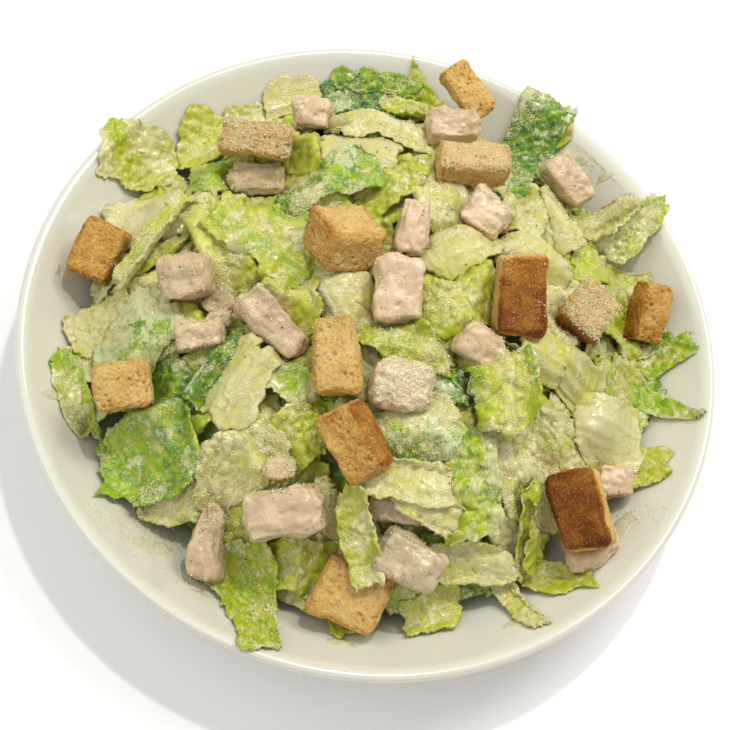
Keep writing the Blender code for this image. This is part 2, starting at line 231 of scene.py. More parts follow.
class Finish:
    """A Principled material and short ways to add the nodes of its pattern."""

    def __init__(self, name, **sockets):
        self.material = bpy.data.materials.new(name)
        self.material.use_nodes = True
        self.tree = self.material.node_tree
        self.shader = self.tree.nodes["Principled BSDF"]
        for socket, value in sockets.items():
            self.shader.inputs[socket.replace("_", " ")].default_value = value
        self.place = self.tree.nodes.new("ShaderNodeTexCoord").outputs["Object"]

    def link(self, source, target):
        """Feeds a socket with a number, a colour or another node's output."""
        if isinstance(source, (int, float)):
            target.default_value = source
        elif isinstance(source, tuple):
            target.default_value = (*source, 1)
        else:
            self.tree.links.new(source, target)

    def to(self, source, socket):
        """Feeds one of the shader's own sockets."""
        self.link(source, self.shader.inputs[socket])

    def parts(self):
        """The piece's own three numbers at each point."""
        held = self.tree.nodes.new("ShaderNodeAttribute")
        held.attribute_name = "parts"
        split = self.tree.nodes.new("ShaderNodeSeparateColor")
        self.link(held.outputs["Color"], split.inputs[0])
        return split.outputs[0], split.outputs[1], split.outputs[2]

    def noise(self, size, detail, roughness):
        """Noise whose coarsest lumps have that size."""
        made = self.tree.nodes.new("ShaderNodeTexNoise")
        self.link(self.place, made.inputs["Vector"])
        made.inputs["Scale"].default_value = 1 / size
        made.inputs["Detail"].default_value = detail
        made.inputs["Roughness"].default_value = roughness
        return made.outputs["Fac"]

    def cells(self, size):
        """Distance to the nearest of one chance point in each cell of that size."""
        made = self.tree.nodes.new("ShaderNodeTexVoronoi")
        self.link(self.place, made.inputs["Vector"])
        made.inputs["Scale"].default_value = 1 / size
        return made.outputs["Distance"]

    def span(self, value, low, high, start=0.0, end=1.0):
        """The value carried from low..high to start..end, and held there beyond."""
        made = self.tree.nodes.new("ShaderNodeMapRange")
        made.interpolation_type = "SMOOTHSTEP"
        sockets = ("Value", "From Min", "From Max", "To Min", "To Max")
        for socket, number in zip(sockets, (value, low, high, start, end)):
            self.link(number, made.inputs[socket])
        return made.outputs["Result"]

    def math(self, operation, first, second):
        """One of Blender's sums of two values."""
        made = self.tree.nodes.new("ShaderNodeMath")
        made.operation = operation
        self.link(first, made.inputs[0])
        self.link(second, made.inputs[1])
        return made.outputs[0]

    def add(self, first, second):
        return self.math("ADD", first, second)

    def times(self, first, second):
        return self.math("MULTIPLY", first, second)

    def minus(self, first, second):
        return self.math("SUBTRACT", first, second)

    def blend(self, share, first, second):
        """First where share is 0, second where it is 1."""
        made = self.tree.nodes.new("ShaderNodeMix")
        made.data_type = "RGBA"
        self.link(share, made.inputs["Factor"])
        self.link(first, made.inputs[MIX_FIRST_COLOUR])
        self.link(second, made.inputs[MIX_SECOND_COLOUR])
        return made.outputs[MIX_COLOUR_RESULT]

    def ramp(self, value, *stops):
        """Colours along a value: each stop is (position, (r, g, b))."""
        made = self.tree.nodes.new("ShaderNodeValToRGB")
        band = made.color_ramp.elements
        while len(band) < len(stops):
            band.new(0.5)
        for element, (position, colour) in zip(band, stops):
            element.position = position
            element.color = (*colour, 1)
        self.link(value, made.inputs["Fac"])
        return made.outputs["Color"]

    def bump(self, height, depth, strength):
        """A normal tilted by a height that stands for that depth."""
        made = self.tree.nodes.new("ShaderNodeBump")
        made.inputs["Strength"].default_value = strength
        made.inputs["Distance"].default_value = depth
        self.link(height, made.inputs["Height"])
        return made.outputs["Normal"]


def leaf_finish():
    """Romaine: cream rib to green blade, a creamy film in patches, and cheese where it lies thick."""
    f = Finish("romaine", Roughness=0.42, Specular_IOR_Level=0.55)
    green, sauce, cheese = f.parts()
    mottle = f.noise(4.5 * MM, 2, 0.6)
    fine = f.noise(0.9 * MM, 2, 0.6)
    shade = f.add(green, f.span(mottle, 0.3, 0.7, -0.08, 0.08))
    leaf = f.ramp(
        shade,
        (0.0, (0.56, 0.50, 0.225)),
        (0.22, (0.505, 0.495, 0.100)),
        (0.42, (0.395, 0.445, 0.014)),
        (0.62, (0.245, 0.385, 0.006)),
        (0.82, (0.100, 0.235, 0.012)),
        (1.0, (0.035, 0.115, 0.022)),
    )
    leaf = f.blend(f.span(fine, 0.45, 0.75, 0.0, 0.10), leaf, (0.58, 0.62, 0.14))
    patch = f.noise(4.2 * MM, 5, 0.78)
    film = f.span(f.add(patch, f.times(sauce, 0.50)), 0.68, 0.755, 0.0, 0.78)
    cream = f.blend(f.span(shade, 0.40, 0.85), (0.64, 0.60, 0.32), (0.56, 0.61, 0.34))
    coated = f.blend(film, leaf, cream)
    drift = f.span(f.noise(8 * MM, 3, 0.65), 0.36, 0.66, -0.36, 0.34)
    lying = f.add(f.times(cheese, 0.85), drift)
    powder = f.add(f.noise(0.62 * MM, 1, 0.5), f.times(lying, 0.42))
    dust = f.span(powder, 0.60, 0.80, 0.0, 0.78)
    dusted = f.blend(dust, coated, (0.73, 0.675, 0.305))
    speck = f.span(powder, 0.80, 0.93)
    f.to(f.blend(f.times(speck, 0.8), dusted, (0.82, 0.77, 0.43)), "Base Color")
    wet = f.minus(film, f.times(dust, 0.8))
    f.to(f.span(wet, 0.0, 0.5, 0.34, 0.10), "Roughness")
    height = f.add(f.times(fine, 0.45), f.times(film, 0.5))
    height = f.add(height, f.times(dust, 0.45))
    height = f.add(height, f.times(speck, 0.8))
    f.to(f.bump(height, 0.35 * MM, 0.8), "Normal")
    return f.material


def bread_finish():
    """Toasted bread: tan crumb, browner crusts and edges, painted shade in the sunk pits, herb flecks and
    cheese dust on top.
    """
    f = Finish("toasted_bread", Roughness=0.70, Specular_IOR_Level=0.18)
    toast, dust, shaded_pit = f.parts()
    broad = f.noise(6 * MM, 3, 0.6)
    fine = f.noise(0.9 * MM, 3, 0.65)
    heat = f.add(toast, f.span(broad, 0.3, 0.7, -0.07, 0.07))
    heat = f.add(heat, f.span(fine, 0.3, 0.7, -0.09, 0.09))
    bread = f.ramp(
        heat,
        (0.0, (0.72, 0.52, 0.225)),
        (0.25, (0.63, 0.395, 0.115)),
        (0.45, (0.50, 0.255, 0.046)),
        (0.65, (0.325, 0.125, 0.016)),
        (0.85, (0.175, 0.050, 0.005)),
        (1.0, (0.10, 0.026, 0.003)),
    )
    # Painted shade: the sunk pits are darkened, as if shade fell into them
    bread = f.blend(f.span(shaded_pit, 0.15, 0.9, 0.0, 0.45), bread, (0.26, 0.125, 0.024))
    bread = f.blend(f.times(f.span(f.cells(1.7 * MM), 0.19, 0.12), 0.75), bread, (0.11, 0.06, 0.014))
    dense = f.add(f.times(dust, 0.36), f.times(broad, 0.25))
    speck = f.span(f.add(dense, f.noise(0.55 * MM, 1, 0.5)), 0.78, 0.98)
    f.to(f.blend(f.times(speck, 0.72), bread, (0.76, 0.66, 0.46)), "Base Color")
    height = f.times(fine, 1.5)
    height = f.add(height, f.times(speck, 0.5))
    f.to(f.bump(height, 0.55 * MM, 0.85), "Normal")
    return f.material


def meat_finish():
    """Cooked chicken: pale pinkish cream with fine fibres, dressing in patches and a few specks."""
    f = Finish("cooked_chicken", Roughness=0.42, Specular_IOR_Level=0.6)
    f.shader.inputs["Subsurface Weight"].default_value = 0.12
    f.shader.inputs["Subsurface Scale"].default_value = 0.003
    f.shader.inputs["Subsurface Radius"].default_value = (1.0, 0.6, 0.4)
    sear, dust, sauce = f.parts()
    broad = f.noise(6 * MM, 3, 0.55)
    fine = f.noise(1.3 * MM, 4, 0.6)
    meat = f.ramp(
        f.add(sear, f.span(broad, 0.3, 0.7, -0.14, 0.14)),
        (0.0, (0.715, 0.530, 0.345)),
        (0.3, (0.625, 0.452, 0.278)),
        (0.55, (0.505, 0.360, 0.208)),
        (0.8, (0.34, 0.225, 0.110)),
        (1.0, (0.22, 0.130, 0.058)),
    )
    meat = f.blend(f.span(fine, 0.4, 0.75, 0.0, 0.30), meat, (0.69, 0.535, 0.36))
    patch = f.noise(4 * MM, 3, 0.6)
    film = f.span(f.add(patch, f.times(sauce, 0.55)), 0.68, 0.9, 0.0, 0.65)
    meat = f.blend(film, meat, (0.60, 0.515, 0.315))
    dark = f.cells(4.2 * MM)
    meat = f.blend(f.times(f.span(dark, 0.10, 0.055), 0.7), meat, (0.16, 0.09, 0.05))
    dense = f.add(f.times(dust, 0.36), f.times(broad, 0.2))
    speck = f.span(f.add(dense, f.noise(0.6 * MM, 1, 0.5)), 0.78, 0.98)
    f.to(f.blend(f.times(speck, 0.72), meat, (0.75, 0.655, 0.40)), "Base Color")
    f.to(f.span(film, 0.0, 0.6, 0.34, 0.16), "Roughness")
    height = f.add(f.times(fine, 0.5), f.times(speck, 0.6))
    f.to(f.bump(height, 0.5 * MM, 0.85), "Normal")
    return f.material


def glaze_finish():
    """White glaze, a little warm and green, very slightly uneven."""
    f = Finish("white_glaze", Roughness=0.16, Specular_IOR_Level=0.5, Coat_Weight=0.5, Coat_Roughness=0.05)
    cloud = f.noise(70 * MM, 2, 0.5)
    f.to(f.ramp(cloud, (0.3, (0.635, 0.625, 0.520)), (0.7, (0.665, 0.655, 0.555))), "Base Color")
    f.to(f.bump(f.noise(14 * MM, 2, 0.5), 0.12 * MM, 0.3), "Normal")
    return f.material


def cheese_finish():
    """Grated hard cheese: ivory, matt."""
    f = Finish("grated_cheese", Roughness=0.6, Specular_IOR_Level=0.4)
    cloud = f.noise(3 * MM, 2, 0.5)
    f.to(f.ramp(cloud, (0.3, (0.66, 0.605, 0.32)), (0.7, (0.78, 0.725, 0.45))), "Base Color")
    return f.material


def plain_finish(name, colour, roughness):
    """One colour, a quarter lighter in small patches."""
    f = Finish(name, Roughness=roughness)
    lighter = tuple(1.25 * part for part in colour)
    f.to(f.ramp(f.noise(2 * MM, 2, 0.5), (0.3, colour), (0.7, lighter)), "Base Color")
    return f.material


# ---------------------------------------------------------------- bowl


def bowl_grid():
    """The bowl's section turned about the upright axis: (r cos a, r sin a, height) at even angles a."""
    inside = np.linspace(FLOOR_RADIUS * 0.5, RIM_INSIDE, 46)
    section = [(0.0, FLOOR_HEIGHT), (FLOOR_RADIUS * 0.25, FLOOR_HEIGHT)]
    section += [(radius, inner_height(radius)) for radius in inside]
    middle = (RIM_INSIDE + RIM_RADIUS) / 2
    half = LIP_WIDTH / 2
    for angle in np.linspace(118, 0, 8):
        lip = RIM_HEIGHT - half + half * math.sin(math.radians(angle))
        section.append((middle + half * math.cos(math.radians(angle)), lip))
    for radius in np.linspace(RIM_RADIUS - 0.5 * MM, FOOT_RADIUS + 6 * MM, 30):
        wall = inner_height(min(radius, RIM_INSIDE)) - WALL_THICKNESS * 1.12
        section.append((radius, max(wall, FOOT_HEIGHT)))
    section += [
        (FOOT_RADIUS + 1.0 * MM, FOOT_HEIGHT),
        (FOOT_RADIUS + 0.1 * MM, 0.9 * MM),
        (FOOT_RADIUS - 0.5 * MM, 0.0),
        (FOOT_RADIUS - FOOT_WIDTH + 0.5 * MM, 0.0),
        (FOOT_RADIUS - FOOT_WIDTH - 0.1 * MM, 0.8 * MM),
        (FOOT_RADIUS - FOOT_WIDTH - 1.0 * MM, FOOT_HEIGHT - 0.4 * MM),
        (0.0, FOOT_HEIGHT - 0.4 * MM),
    ]
    section = np.array(section)
    angles = np.linspace(0, 2 * math.pi, TURN_STEPS, endpoint=False)
    ring = np.stack([np.cos(angles), np.sin(angles)], -1)
    body = section[1:-1]
    flat = body[:, None, :1] * ring[None]
    heights = np.broadcast_to(body[:, None, 1:], flat.shape[:2] + (1,))
    points = np.concatenate([flat, heights], -1).reshape(-1, 3)
    index = np.arange(len(points)).reshape(len(body), TURN_STEPS)
    beside = np.roll(index, -1, axis=1)
    quads = np.stack([index[:-1], index[1:], beside[1:], beside[:-1]], -1).reshape(-1, 4)
    ends = np.array([[0, 0, section[0, 1]], [0, 0, section[-1, 1]]])
    first, last = len(points), len(points) + 1
    top = np.stack([index[0], beside[0], np.full(TURN_STEPS, first)], -1)
    under = np.stack([beside[-1], index[-1], np.full(TURN_STEPS, last)], -1)
    triangles = np.concatenate([quads[:, [0, 1, 2]], quads[:, [0, 2, 3]], top, under])
    return np.concatenate([points, ends]), triangles


# ---------------------------------------------------------------- leaves

# One leaf: its middle, heading, size and tilts; how far it is raised, bent along (bow) and bent across (cup);
# its rib's place across it and half width; how green it is by the rib and at its sides; how much dressing and
# cheese lie on it; how it narrows and leans; how wavy and blistered it is; whether it lies over the toppings;
# and how far a side is folded over, and from where. Millimetres, degrees, and shares of the half width.
Leaf = namedtuple(
    "Leaf",
    "x y turn length width nose roll lift bow cup rib ribw inner outer sauce cheese "
    "taper skew ruffle blister over fold at",
    defaults=(9.0, 0.0, 0.3, 0.5, 0.35, 0.3, 0.0, 0.0, 0.6, 1.0, False, 0.0, 0.0),
)

# A leaf's relief over its grid: height of the skin and thickness, in metres; the shares of rib, side vein and
# blister; and the fine lines that run along the rib
Relief = namedtuple("Relief", "skin thick ribbed vein blister line")

VALUES_SEED = 77


def edge_of(value, seed, size):
    """Uneven edge: coarse, middle and fine noise along the edge."""
    line = np.stack([value, np.full_like(value, seed * 0.37)], -1)
    coarse = noise(line, size, seed)
    return coarse + 0.5 * noise(line, size * 0.37, seed + 5) + 0.3 * noise(line, size * 0.12, seed + 9)


def four_values(seed, first):
    """Four repeatable values from 0 to 1 that belong to one leaf."""
    return hashed(np.array([[seed, first + step] for step in range(4)]), VALUES_SEED)


def leaf_outline(leaf, seed, u, v, length, width):
    """Places x, y of a flat leaf: a rectangle with uneven sides, ends and corners, tapered and leaned."""
    left = edge_of(u[:, -1], seed, 0.55) * 0.16
    right = edge_of(u[:, 0], seed + 31, 0.55) * 0.16
    near = edge_of(v[0], seed + 57, 0.6) * 0.12
    far = edge_of(v[-1], seed + 83, 0.6) * 0.12
    side = np.where(v > 0, left[:, None], right[:, None])
    end = np.where(u > 0, far[None], near[None])
    cuts = four_values(seed, 1) ** 2 * 0.36
    corner = np.where(u > 0, np.where(v > 0, cuts[0], cuts[1]), np.where(v > 0, cuts[2], cuts[3]))
    cut = corner * np.abs(u * v) ** 3
    narrow = 1 - leaf.taper * (u + 1) / 2
    x = length / 2 * u * (1 - 0.03 * v**4) * (1 + end * np.abs(u) ** 3) * (1 - cut)
    y = width / 2 * v * (1 - 0.04 * u**4) * (1 + side * np.abs(v) ** 3) * narrow * (1 - cut)
    return x + leaf.skew * y, y


def curvature(rise, span):
    """Curvature of a shallow arc that rises so many millimetres over a span: 8 rise / span^2, never none."""
    bend = 8 * rise * MM * CURL_GAIN / span**2
    return bend if abs(bend) > LEAST_CURVE else LEAST_CURVE


def bent_leaf(leaf, seed, u, v, x, y, length, width):
    """The leaf's middle surface: an arc along it, sin(kx) / k and (1 - cos(kx)) / k, an arc across it, a side
    folded over round a small radius, and a height moved by curled edges, a frill, waves and creases."""
    along, across = curvature(leaf.bow, length), curvature(leaf.cup, width)
    height = -(1 - np.cos(along * x)) / along + (1 - np.cos(across * y)) / across
    middle = np.stack([np.sin(along * x) / along, np.sin(across * y) / across, height], -1)
    if leaf.fold:
        past = np.maximum(y - leaf.at * width / 2, 0)
        most = math.radians(leaf.fold)
        angle = np.minimum(past / FOLD_RADIUS, most)
        beyond = np.maximum(past - FOLD_RADIUS * most, 0)
        middle[..., 1] += -past + FOLD_RADIUS * np.sin(angle) + beyond * math.cos(most)
        middle[..., 2] += FOLD_RADIUS * (1 - np.cos(angle)) + beyond * math.sin(most)
    flat = np.stack([x, y], -1) + seed * 0.1
    wave = noise(np.stack([x, y * 0.3], -1) + seed, 4.6 * MM, seed + 3)
    swell = noise(flat, 12 * MM, seed + 17)
    shift = np.stack([noise(flat, 5 * MM, seed + 87), noise(flat, 5 * MM, seed + 88)], -1)
    bent = flat + 1.6 * MM * shift
    crease = 1 - 2.4 * np.abs(noise(bent, 8.5 * MM, seed + 89))
    crinkle = 1 - 2.4 * np.abs(noise(bent, 4.0 * MM, seed + 91))
    lifts = (four_values(seed, 5) - 0.42) * 2 * EDGE_CURL
    sides, ends = np.where(v > 0, lifts[0], lifts[1]), np.where(u > 0, lifts[2], lifts[3])
    curl = sides * np.abs(v) ** 3 + ends * np.abs(u) ** 4
    frill = noise(np.stack([x, y * 0.4], -1) + seed, 7.5 * MM, seed + 7)
    rim = np.maximum(np.abs(v) ** 3, 0.6 * np.abs(u) ** 4)
    ripple = (1.5 * wave + 2.1 * frill) * (0.12 + rim)
    middle[..., 2] += leaf.ruffle * (curl + MM * (ripple + 1.1 * swell + 0.85 * crease + 0.40 * crinkle))
    return middle


def laid_leaf(leaf, middle, bed):
    """The middle surface turned to its heading, leaned with the dome, tilted and put in its place; then held
    under the toppings unless it lies over them, and above the bowl."""
    step = 0.5 * MM
    px, py = leaf.x * MM, leaf.y * MM
    slope_x = (mound_height(px + step, py) - mound_height(px - step, py)) / (2 * step)
    slope_y = (mound_height(px, py + step) - mound_height(px, py - step)) / (2 * step)
    up = np.array([-slope_x * LEAF_LEAN, -slope_y * LEAF_LEAN, 1.0])
    up /= np.linalg.norm(up)
    heading = np.array([math.cos(math.radians(leaf.turn)), math.sin(math.radians(leaf.turn)), 0])
    forward = heading - up * heading.dot(up)
    forward /= np.linalg.norm(forward)
    base = np.stack([forward, np.cross(up, forward), up], 1)
    dip, bank = math.radians(-leaf.nose * TILT_GAIN), math.radians(leaf.roll * TILT_GAIN)
    nose = np.array([[math.cos(dip), 0, math.sin(dip)], [0, 1, 0], [-math.sin(dip), 0, math.cos(dip)]])
    roll = np.array([[1, 0, 0], [0, math.cos(bank), -math.sin(bank)], [0, math.sin(bank), math.cos(bank)]])
    centre = np.array([px, py, mound_height(px, py) + (leaf.lift - 1.5) * MM])
    grid = middle @ (base @ nose @ roll).T + centre
    if not leaf.over:
        sunk = smooth(DRAPE_FROM, DRAPE_TO, np.hypot(grid[..., 0], grid[..., 1])) * DRAPE_SHARE
        grid[..., 2] -= sunk * np.maximum(grid[..., 2] - bowl_top(grid) - 1.2 * MM, 0)
        grid[..., 2] = np.minimum(grid[..., 2], bed.ceiling(grid) - UNDER_ROOM)
    grid[..., 2] = np.maximum(grid[..., 2], bowl_top(grid) + 0.9 * MM)
    return grid


def leaf_relief(leaf, seed, u, v, x, y, width):
    """The rib's lined ridge, exp(-(d / w)^4) at the way d from its middle, furrows for side veins that slant
    away from it at even steps, blisters on the blade, and a thickness that ends in a rounded edge."""
    flat = np.stack([x, y], -1) + seed * 0.1
    from_rib = (v - leaf.rib) * width / 2
    ribbed = np.exp(-((from_rib / max(leaf.ribw * MM, 1e-5)) ** 4)) if leaf.ribw else np.zeros_like(v)
    blade = 1 - ribbed
    reach = np.abs(from_rib) - leaf.ribw * MM
    branch = (x - 0.75 * np.maximum(reach, 0)) / (6.5 * MM) + 0.30 * noise(flat, 8 * MM, seed + 23)
    vein = np.exp(-(((branch - np.round(branch)) / 0.11) ** 2)) * blade * smooth(1.1, 0.3, np.abs(v))
    near_cell, next_cell = spots(flat, 3.6 * MM, seed + 41)
    blister = smooth(0.0, 0.5, next_cell - near_cell) * (1 - 0.5 * near_cell)
    pucker = noise(flat, 2.2 * MM, seed + 47)
    skin = blade * leaf.blister * (0.75 * blister + 0.35 * pucker) * MM - 0.35 * vein * MM
    line = noise(np.stack([x * 0.10, y + 0.04 * x], -1) + seed, 1.9 * MM, seed + 51)
    skin = skin + ribbed * (0.6 * MM + 0.50 * MM * line)
    inset = np.maximum(np.abs(u) ** 2, np.abs(v) ** 2) * 0.999
    thick = (0.40 + 1.5 * ribbed * smooth(1.03, 0.9, inset)) * MM * smooth(1.06, 0.93, inset) + 0.22 * MM
    return Relief(skin, thick, ribbed, vein, blister, line)


def leaf_look(leaf, seed, v, x, y, width, relief):
    """What the finish reads at each point: greenness, which grows away from the rib, dressing, and cheese."""
    flat = np.stack([x, y], -1) + seed * 0.1
    spread = np.clip(np.abs((v - leaf.rib) * width / 2) / (14 * MM), 0, 1) ** 0.8
    green = leaf.inner + (leaf.outer - leaf.inner) * spread + 0.09 * rough(flat, 6 * MM, seed + 71, 2)
    green = green * (1 - 0.32 * relief.vein) - 0.10 * (1 - relief.blister) * (1 - relief.ribbed)
    green = green * (1 - relief.ribbed) + relief.ribbed * (leaf.inner + 0.05 - 0.10 * relief.line)
    cheese = leaf.cheese + 0.35 * noise(flat, 8 * MM, seed + 77)
    sauce = leaf.sauce + 0.3 * noise(flat, 6 * MM, seed + 81)
    return np.stack([green, sauce, cheese], -1).reshape(-1, 3)


def leaf_plate(leaf, seed, rows, columns, bed):
    """One cut leaf: its bent middle surface, a skin above it and one below at half the thickness, with film
    and clots of cheese on the upper one. Also gives the upper grid."""
    u = np.linspace(-1, 1, rows)[:, None] * np.ones((1, columns))
    v = np.ones((rows, 1)) * np.linspace(-1, 1, columns)[None]
    length, width = leaf.length * LEAF_GROWTH * MM, leaf.width * LEAF_GROWTH * MM
    x, y = leaf_outline(leaf, seed, u, v, length, width)
    grid = laid_leaf(leaf, bent_leaf(leaf, seed, u, v, x, y, length, width), bed)
    relief = leaf_relief(leaf, seed, u, v, x, y, width)

    flat = np.stack([x, y], -1) + seed * 0.1
    wetness = noise(flat, 7 * MM, seed + 61) * 0.5 + 0.5 * noise(flat, 2.6 * MM, seed + 67) + leaf.sauce
    dusting = noise(flat, 1.3 * MM, seed + 97) * 0.6 + noise(flat, 9 * MM, seed + 98) * 0.6 + leaf.cheese
    film, clots = smooth(0.1, 0.8, wetness), smooth(0.25, 0.8, dusting)
    normal = normals_of(grid)
    upper = grid + normal * (relief.skin + relief.thick / 2 + (0.16 * film + 0.32 * clots) * MM)[..., None]
    lower = grid + normal * (relief.skin * 0.8 - relief.thick / 2)[..., None]
    lower[..., 2] = np.maximum(lower[..., 2], bowl_top(lower) + 0.15 * MM)
    upper[..., 2] = np.maximum(upper[..., 2], lower[..., 2] + 0.02 * MM)
    bed.lay(lower)

    look = leaf_look(leaf, seed, v, x, y, width, relief)
    points = np.concatenate([upper.reshape(-1, 3), lower.reshape(-1, 3)])
    return points, plate_faces(rows, columns), np.clip(np.concatenate([look, look]), 0, 1), upper


def bowl_top(points):
    """Height of the bowl's inner surface, or of its lip, under each point."""
    radius = np.hypot(points[..., 0], points[..., 1])
    wall = inner_height(np.minimum(radius, RIM_INSIDE))
    return np.where(radius > RIM_INSIDE - 1 * MM, RIM_HEIGHT, wall)


def triangles_of(mesh):
    """The corners of each of a mesh's triangles."""
    mesh.calc_loop_triangles()
    return np.array([v.co for v in mesh.vertices])[np.array([t.vertices for t in mesh.loop_triangles])]


def plan_area(first, second):
    """Signed area, seen from above, of the slanted square that two edges span."""
    return first[..., 0] * second[..., 1] - first[..., 1] * second[..., 0]


class Bed:
    """Two maps of the plan: the lowest height of what lies over each square, rising at a slope around it, and
    the highest height of the toppings alone."""

    def __init__(self, names):
        count = int(2 * BED_HALF / BED_CELL) + 1
        self.low = np.full((count, count), NOTHING_ABOVE)
        self.high = np.full((count, count), -NOTHING_ABOVE)
        for name in names:
            self.press(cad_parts[name].data)
        self.spread(slice(0, count), slice(0, count), BED_STEPS)

    def spread(self, rows, columns, steps):
        """Lowers each square of a window to its neighbours' height plus the slope."""
        rise = BED_SLOPE * BED_CELL
        part = self.low[rows, columns]
        for _ in range(steps):
            part[1:] = np.minimum(part[1:], part[:-1] + rise)
            part[:-1] = np.minimum(part[:-1], part[1:] + rise)
            part[:, 1:] = np.minimum(part[:, 1:], part[:, :-1] + rise)
            part[:, :-1] = np.minimum(part[:, :-1], part[:, 1:] + rise)

    def lay(self, grid):
        """Adds a leaf's lower side, so that what is laid after it goes under it."""
        spot = np.round((grid[..., :2].reshape(-1, 2) + BED_HALF) / BED_CELL).astype(int)
        spot = np.clip(spot, 0, len(self.low) - 1)
        np.minimum.at(self.low, (spot[:, 0], spot[:, 1]), grid[..., 2].ravel())
        low, high = np.maximum(spot.min(0) - LAY_STEPS, 0), spot.max(0) + LAY_STEPS
        self.spread(slice(low[0], high[0]), slice(low[1], high[1]), LAY_STEPS)

    def press(self, mesh):
        """Adds a solid: where a plan square lies in a triangle, the triangle's height there."""
        corners = triangles_of(mesh)
        low = np.floor((corners[..., :2].min((0, 1)) + BED_HALF) / BED_CELL).astype(int)
        high = np.ceil((corners[..., :2].max((0, 1)) + BED_HALF) / BED_CELL).astype(int)
        i, j = np.meshgrid(np.arange(low[0], high[0] + 1), np.arange(low[1], high[1] + 1), indexing="ij")
        plan = np.stack([i, j], -1).reshape(-1, 1, 2) * BED_CELL - BED_HALF
        a, b, c = corners[None, :, 0], corners[None, :, 1], corners[None, :, 2]
        area = plan_area(b - a, c - a)
        area = np.where(np.abs(area) < 1e-12, 1e-12, area)
        s, t = plan_area(plan - a[..., :2], c - a) / area, plan_area(b - a, plan - a[..., :2]) / area
        inside = (s >= 0) & (t >= 0) & (s + t <= 1)
        height = a[..., 2] + s * (b[..., 2] - a[..., 2]) + t * (c[..., 2] - a[..., 2])
        lowest = np.where(inside, height, NOTHING_ABOVE).min(1)
        highest = np.where(inside, height, -NOTHING_ABOVE).max(1)
        i, j = i.ravel(), j.ravel()
        self.low[i, j] = np.minimum(self.low[i, j], lowest)
        self.high[i, j] = np.maximum(self.high[i, j], highest)

    def ceiling(self, points):
        """Height that a leaf may reach under each point."""
        spot = (points[..., :2] + BED_HALF) / BED_CELL
        low = np.clip(np.floor(spot).astype(int), 0, len(self.low) - 2)
        part = np.clip(spot - low, 0, 1)
        i, j = low[..., 0], low[..., 1]
        s, t = part[..., 0], part[..., 1]
        row = self.low[i, j] * (1 - s) + self.low[i + 1, j] * s
        beside = self.low[i, j + 1] * (1 - s) + self.low[i + 1, j + 1] * s
        return row * (1 - t) + beside * t


# ---------------------------------------------------------------- toppings


def ball_grid(steps):
    """Points on a cube's surface on an even grid, shared along its edges, and the quads between them."""
    line = np.linspace(-1, 1, steps + 1)
    first, second = np.meshgrid(line, line, indexing="ij")
    points, faces = [], []
    index = np.arange((steps + 1) ** 2).reshape(steps + 1, steps + 1)
    quad = np.stack([index[:-1, :-1], index[1:, :-1], index[1:, 1:], index[:-1, 1:]], -1).reshape(-1, 4)
    for axis in range(3):
        for side in (-1, 1):
            sheet = np.empty(first.shape + (3,))
            sheet[..., axis] = side
            sheet[..., (axis + 1) % 3] = first
            sheet[..., (axis + 2) % 3] = second
            faces.append((quad if side > 0 else quad[:, ::-1]) + len(points) * (steps + 1) ** 2)
            points.append(sheet.reshape(-1, 3))
    points = np.concatenate(points)
    _, kept, same = np.unique(np.round(points * 1e4), axis=0, return_index=True, return_inverse=True)
    return points[kept], same.reshape(-1)[np.concatenate(faces)]


# Directions whose product is past the first are alike. A face is square to another when what is left of it
# across that one is past the second.
SAME_FACING = 0.94
NEARLY_SQUARE = 0.8


def own_axes(corners):
    """A block's three square directions: what most of its area faces, most of the rest, and the third."""
    facing = np.cross(corners[:, 1] - corners[:, 0], corners[:, 2] - corners[:, 0])
    area = np.linalg.norm(facing, axis=1)
    facing = facing / np.maximum(area, 1e-15)[:, None]
    alike = np.abs(facing @ facing.T) > SAME_FACING
    first = facing[(alike * area[None]).sum(1).argmax()]
    across = facing - (facing @ first)[:, None] * first
    wide = np.linalg.norm(across, axis=1)
    across = across / np.maximum(wide, 1e-9)[:, None]
    square = wide > NEARLY_SQUARE
    alike = (np.abs(across @ across.T) > SAME_FACING) * (area * square)[None]
    second = across[(alike.sum(1) * square).argmax()]
    return np.stack([first, second, np.cross(first, second)])


def distances(origin, rays, corners):
    """How far each ray runs from the origin to the solid's surface, by the ray and triangle formula."""
    a = corners[:, 0]
    e, f = corners[:, 1] - a, corners[:, 2] - a
    across = np.cross(rays[:, None], f[None])
    depth = (across * e[None]).sum(-1)
    depth = np.where(np.abs(depth) < 1e-16, 1e-16, depth)
    gap = origin - a
    s = (across * gap[None]).sum(-1) / depth
    turned = np.cross(gap, e)
    t = (rays @ turned.T) / depth
    reach = (f * turned).sum(-1)[None] / depth
    hit = (s >= -1e-6) & (t >= -1e-6) & (s + t <= 1 + 1e-6) & (reach > 0)
    return np.where(hit, reach, 0).max(1)


def eased(points, faces, times):
    """Each point moved to the mean of its neighbours, that many times."""
    ends = np.concatenate([faces[:, [0, 1]], faces[:, [1, 2]], faces[:, [2, 3]], faces[:, [3, 0]]])
    ends = np.concatenate([ends, ends[:, ::-1]])
    count = np.bincount(ends[:, 0], minlength=len(points))[:, None]
    for _ in range(times):
        total = np.stack([np.bincount(ends[:, 0], points[ends[:, 1], k], len(points)) for k in range(3)], -1)
        points = total / count
    return points


def point_normals(points, faces):
    """Mean facing of the faces round each point."""
    facing = np.cross(points[faces[:, 2]] - points[faces[:, 0]], points[faces[:, 3]] - points[faces[:, 1]])
    total = np.zeros_like(points)
    for corner in range(4):
        for axis in range(3):
            total[:, axis] += np.bincount(faces[:, corner], facing[:, axis], len(points))
    return total / np.maximum(np.linalg.norm(total, axis=1, keepdims=True), 1e-15)


CROUTON_STEPS = 42
CHUNK_STEPS = 32
EASE_TIMES = 5


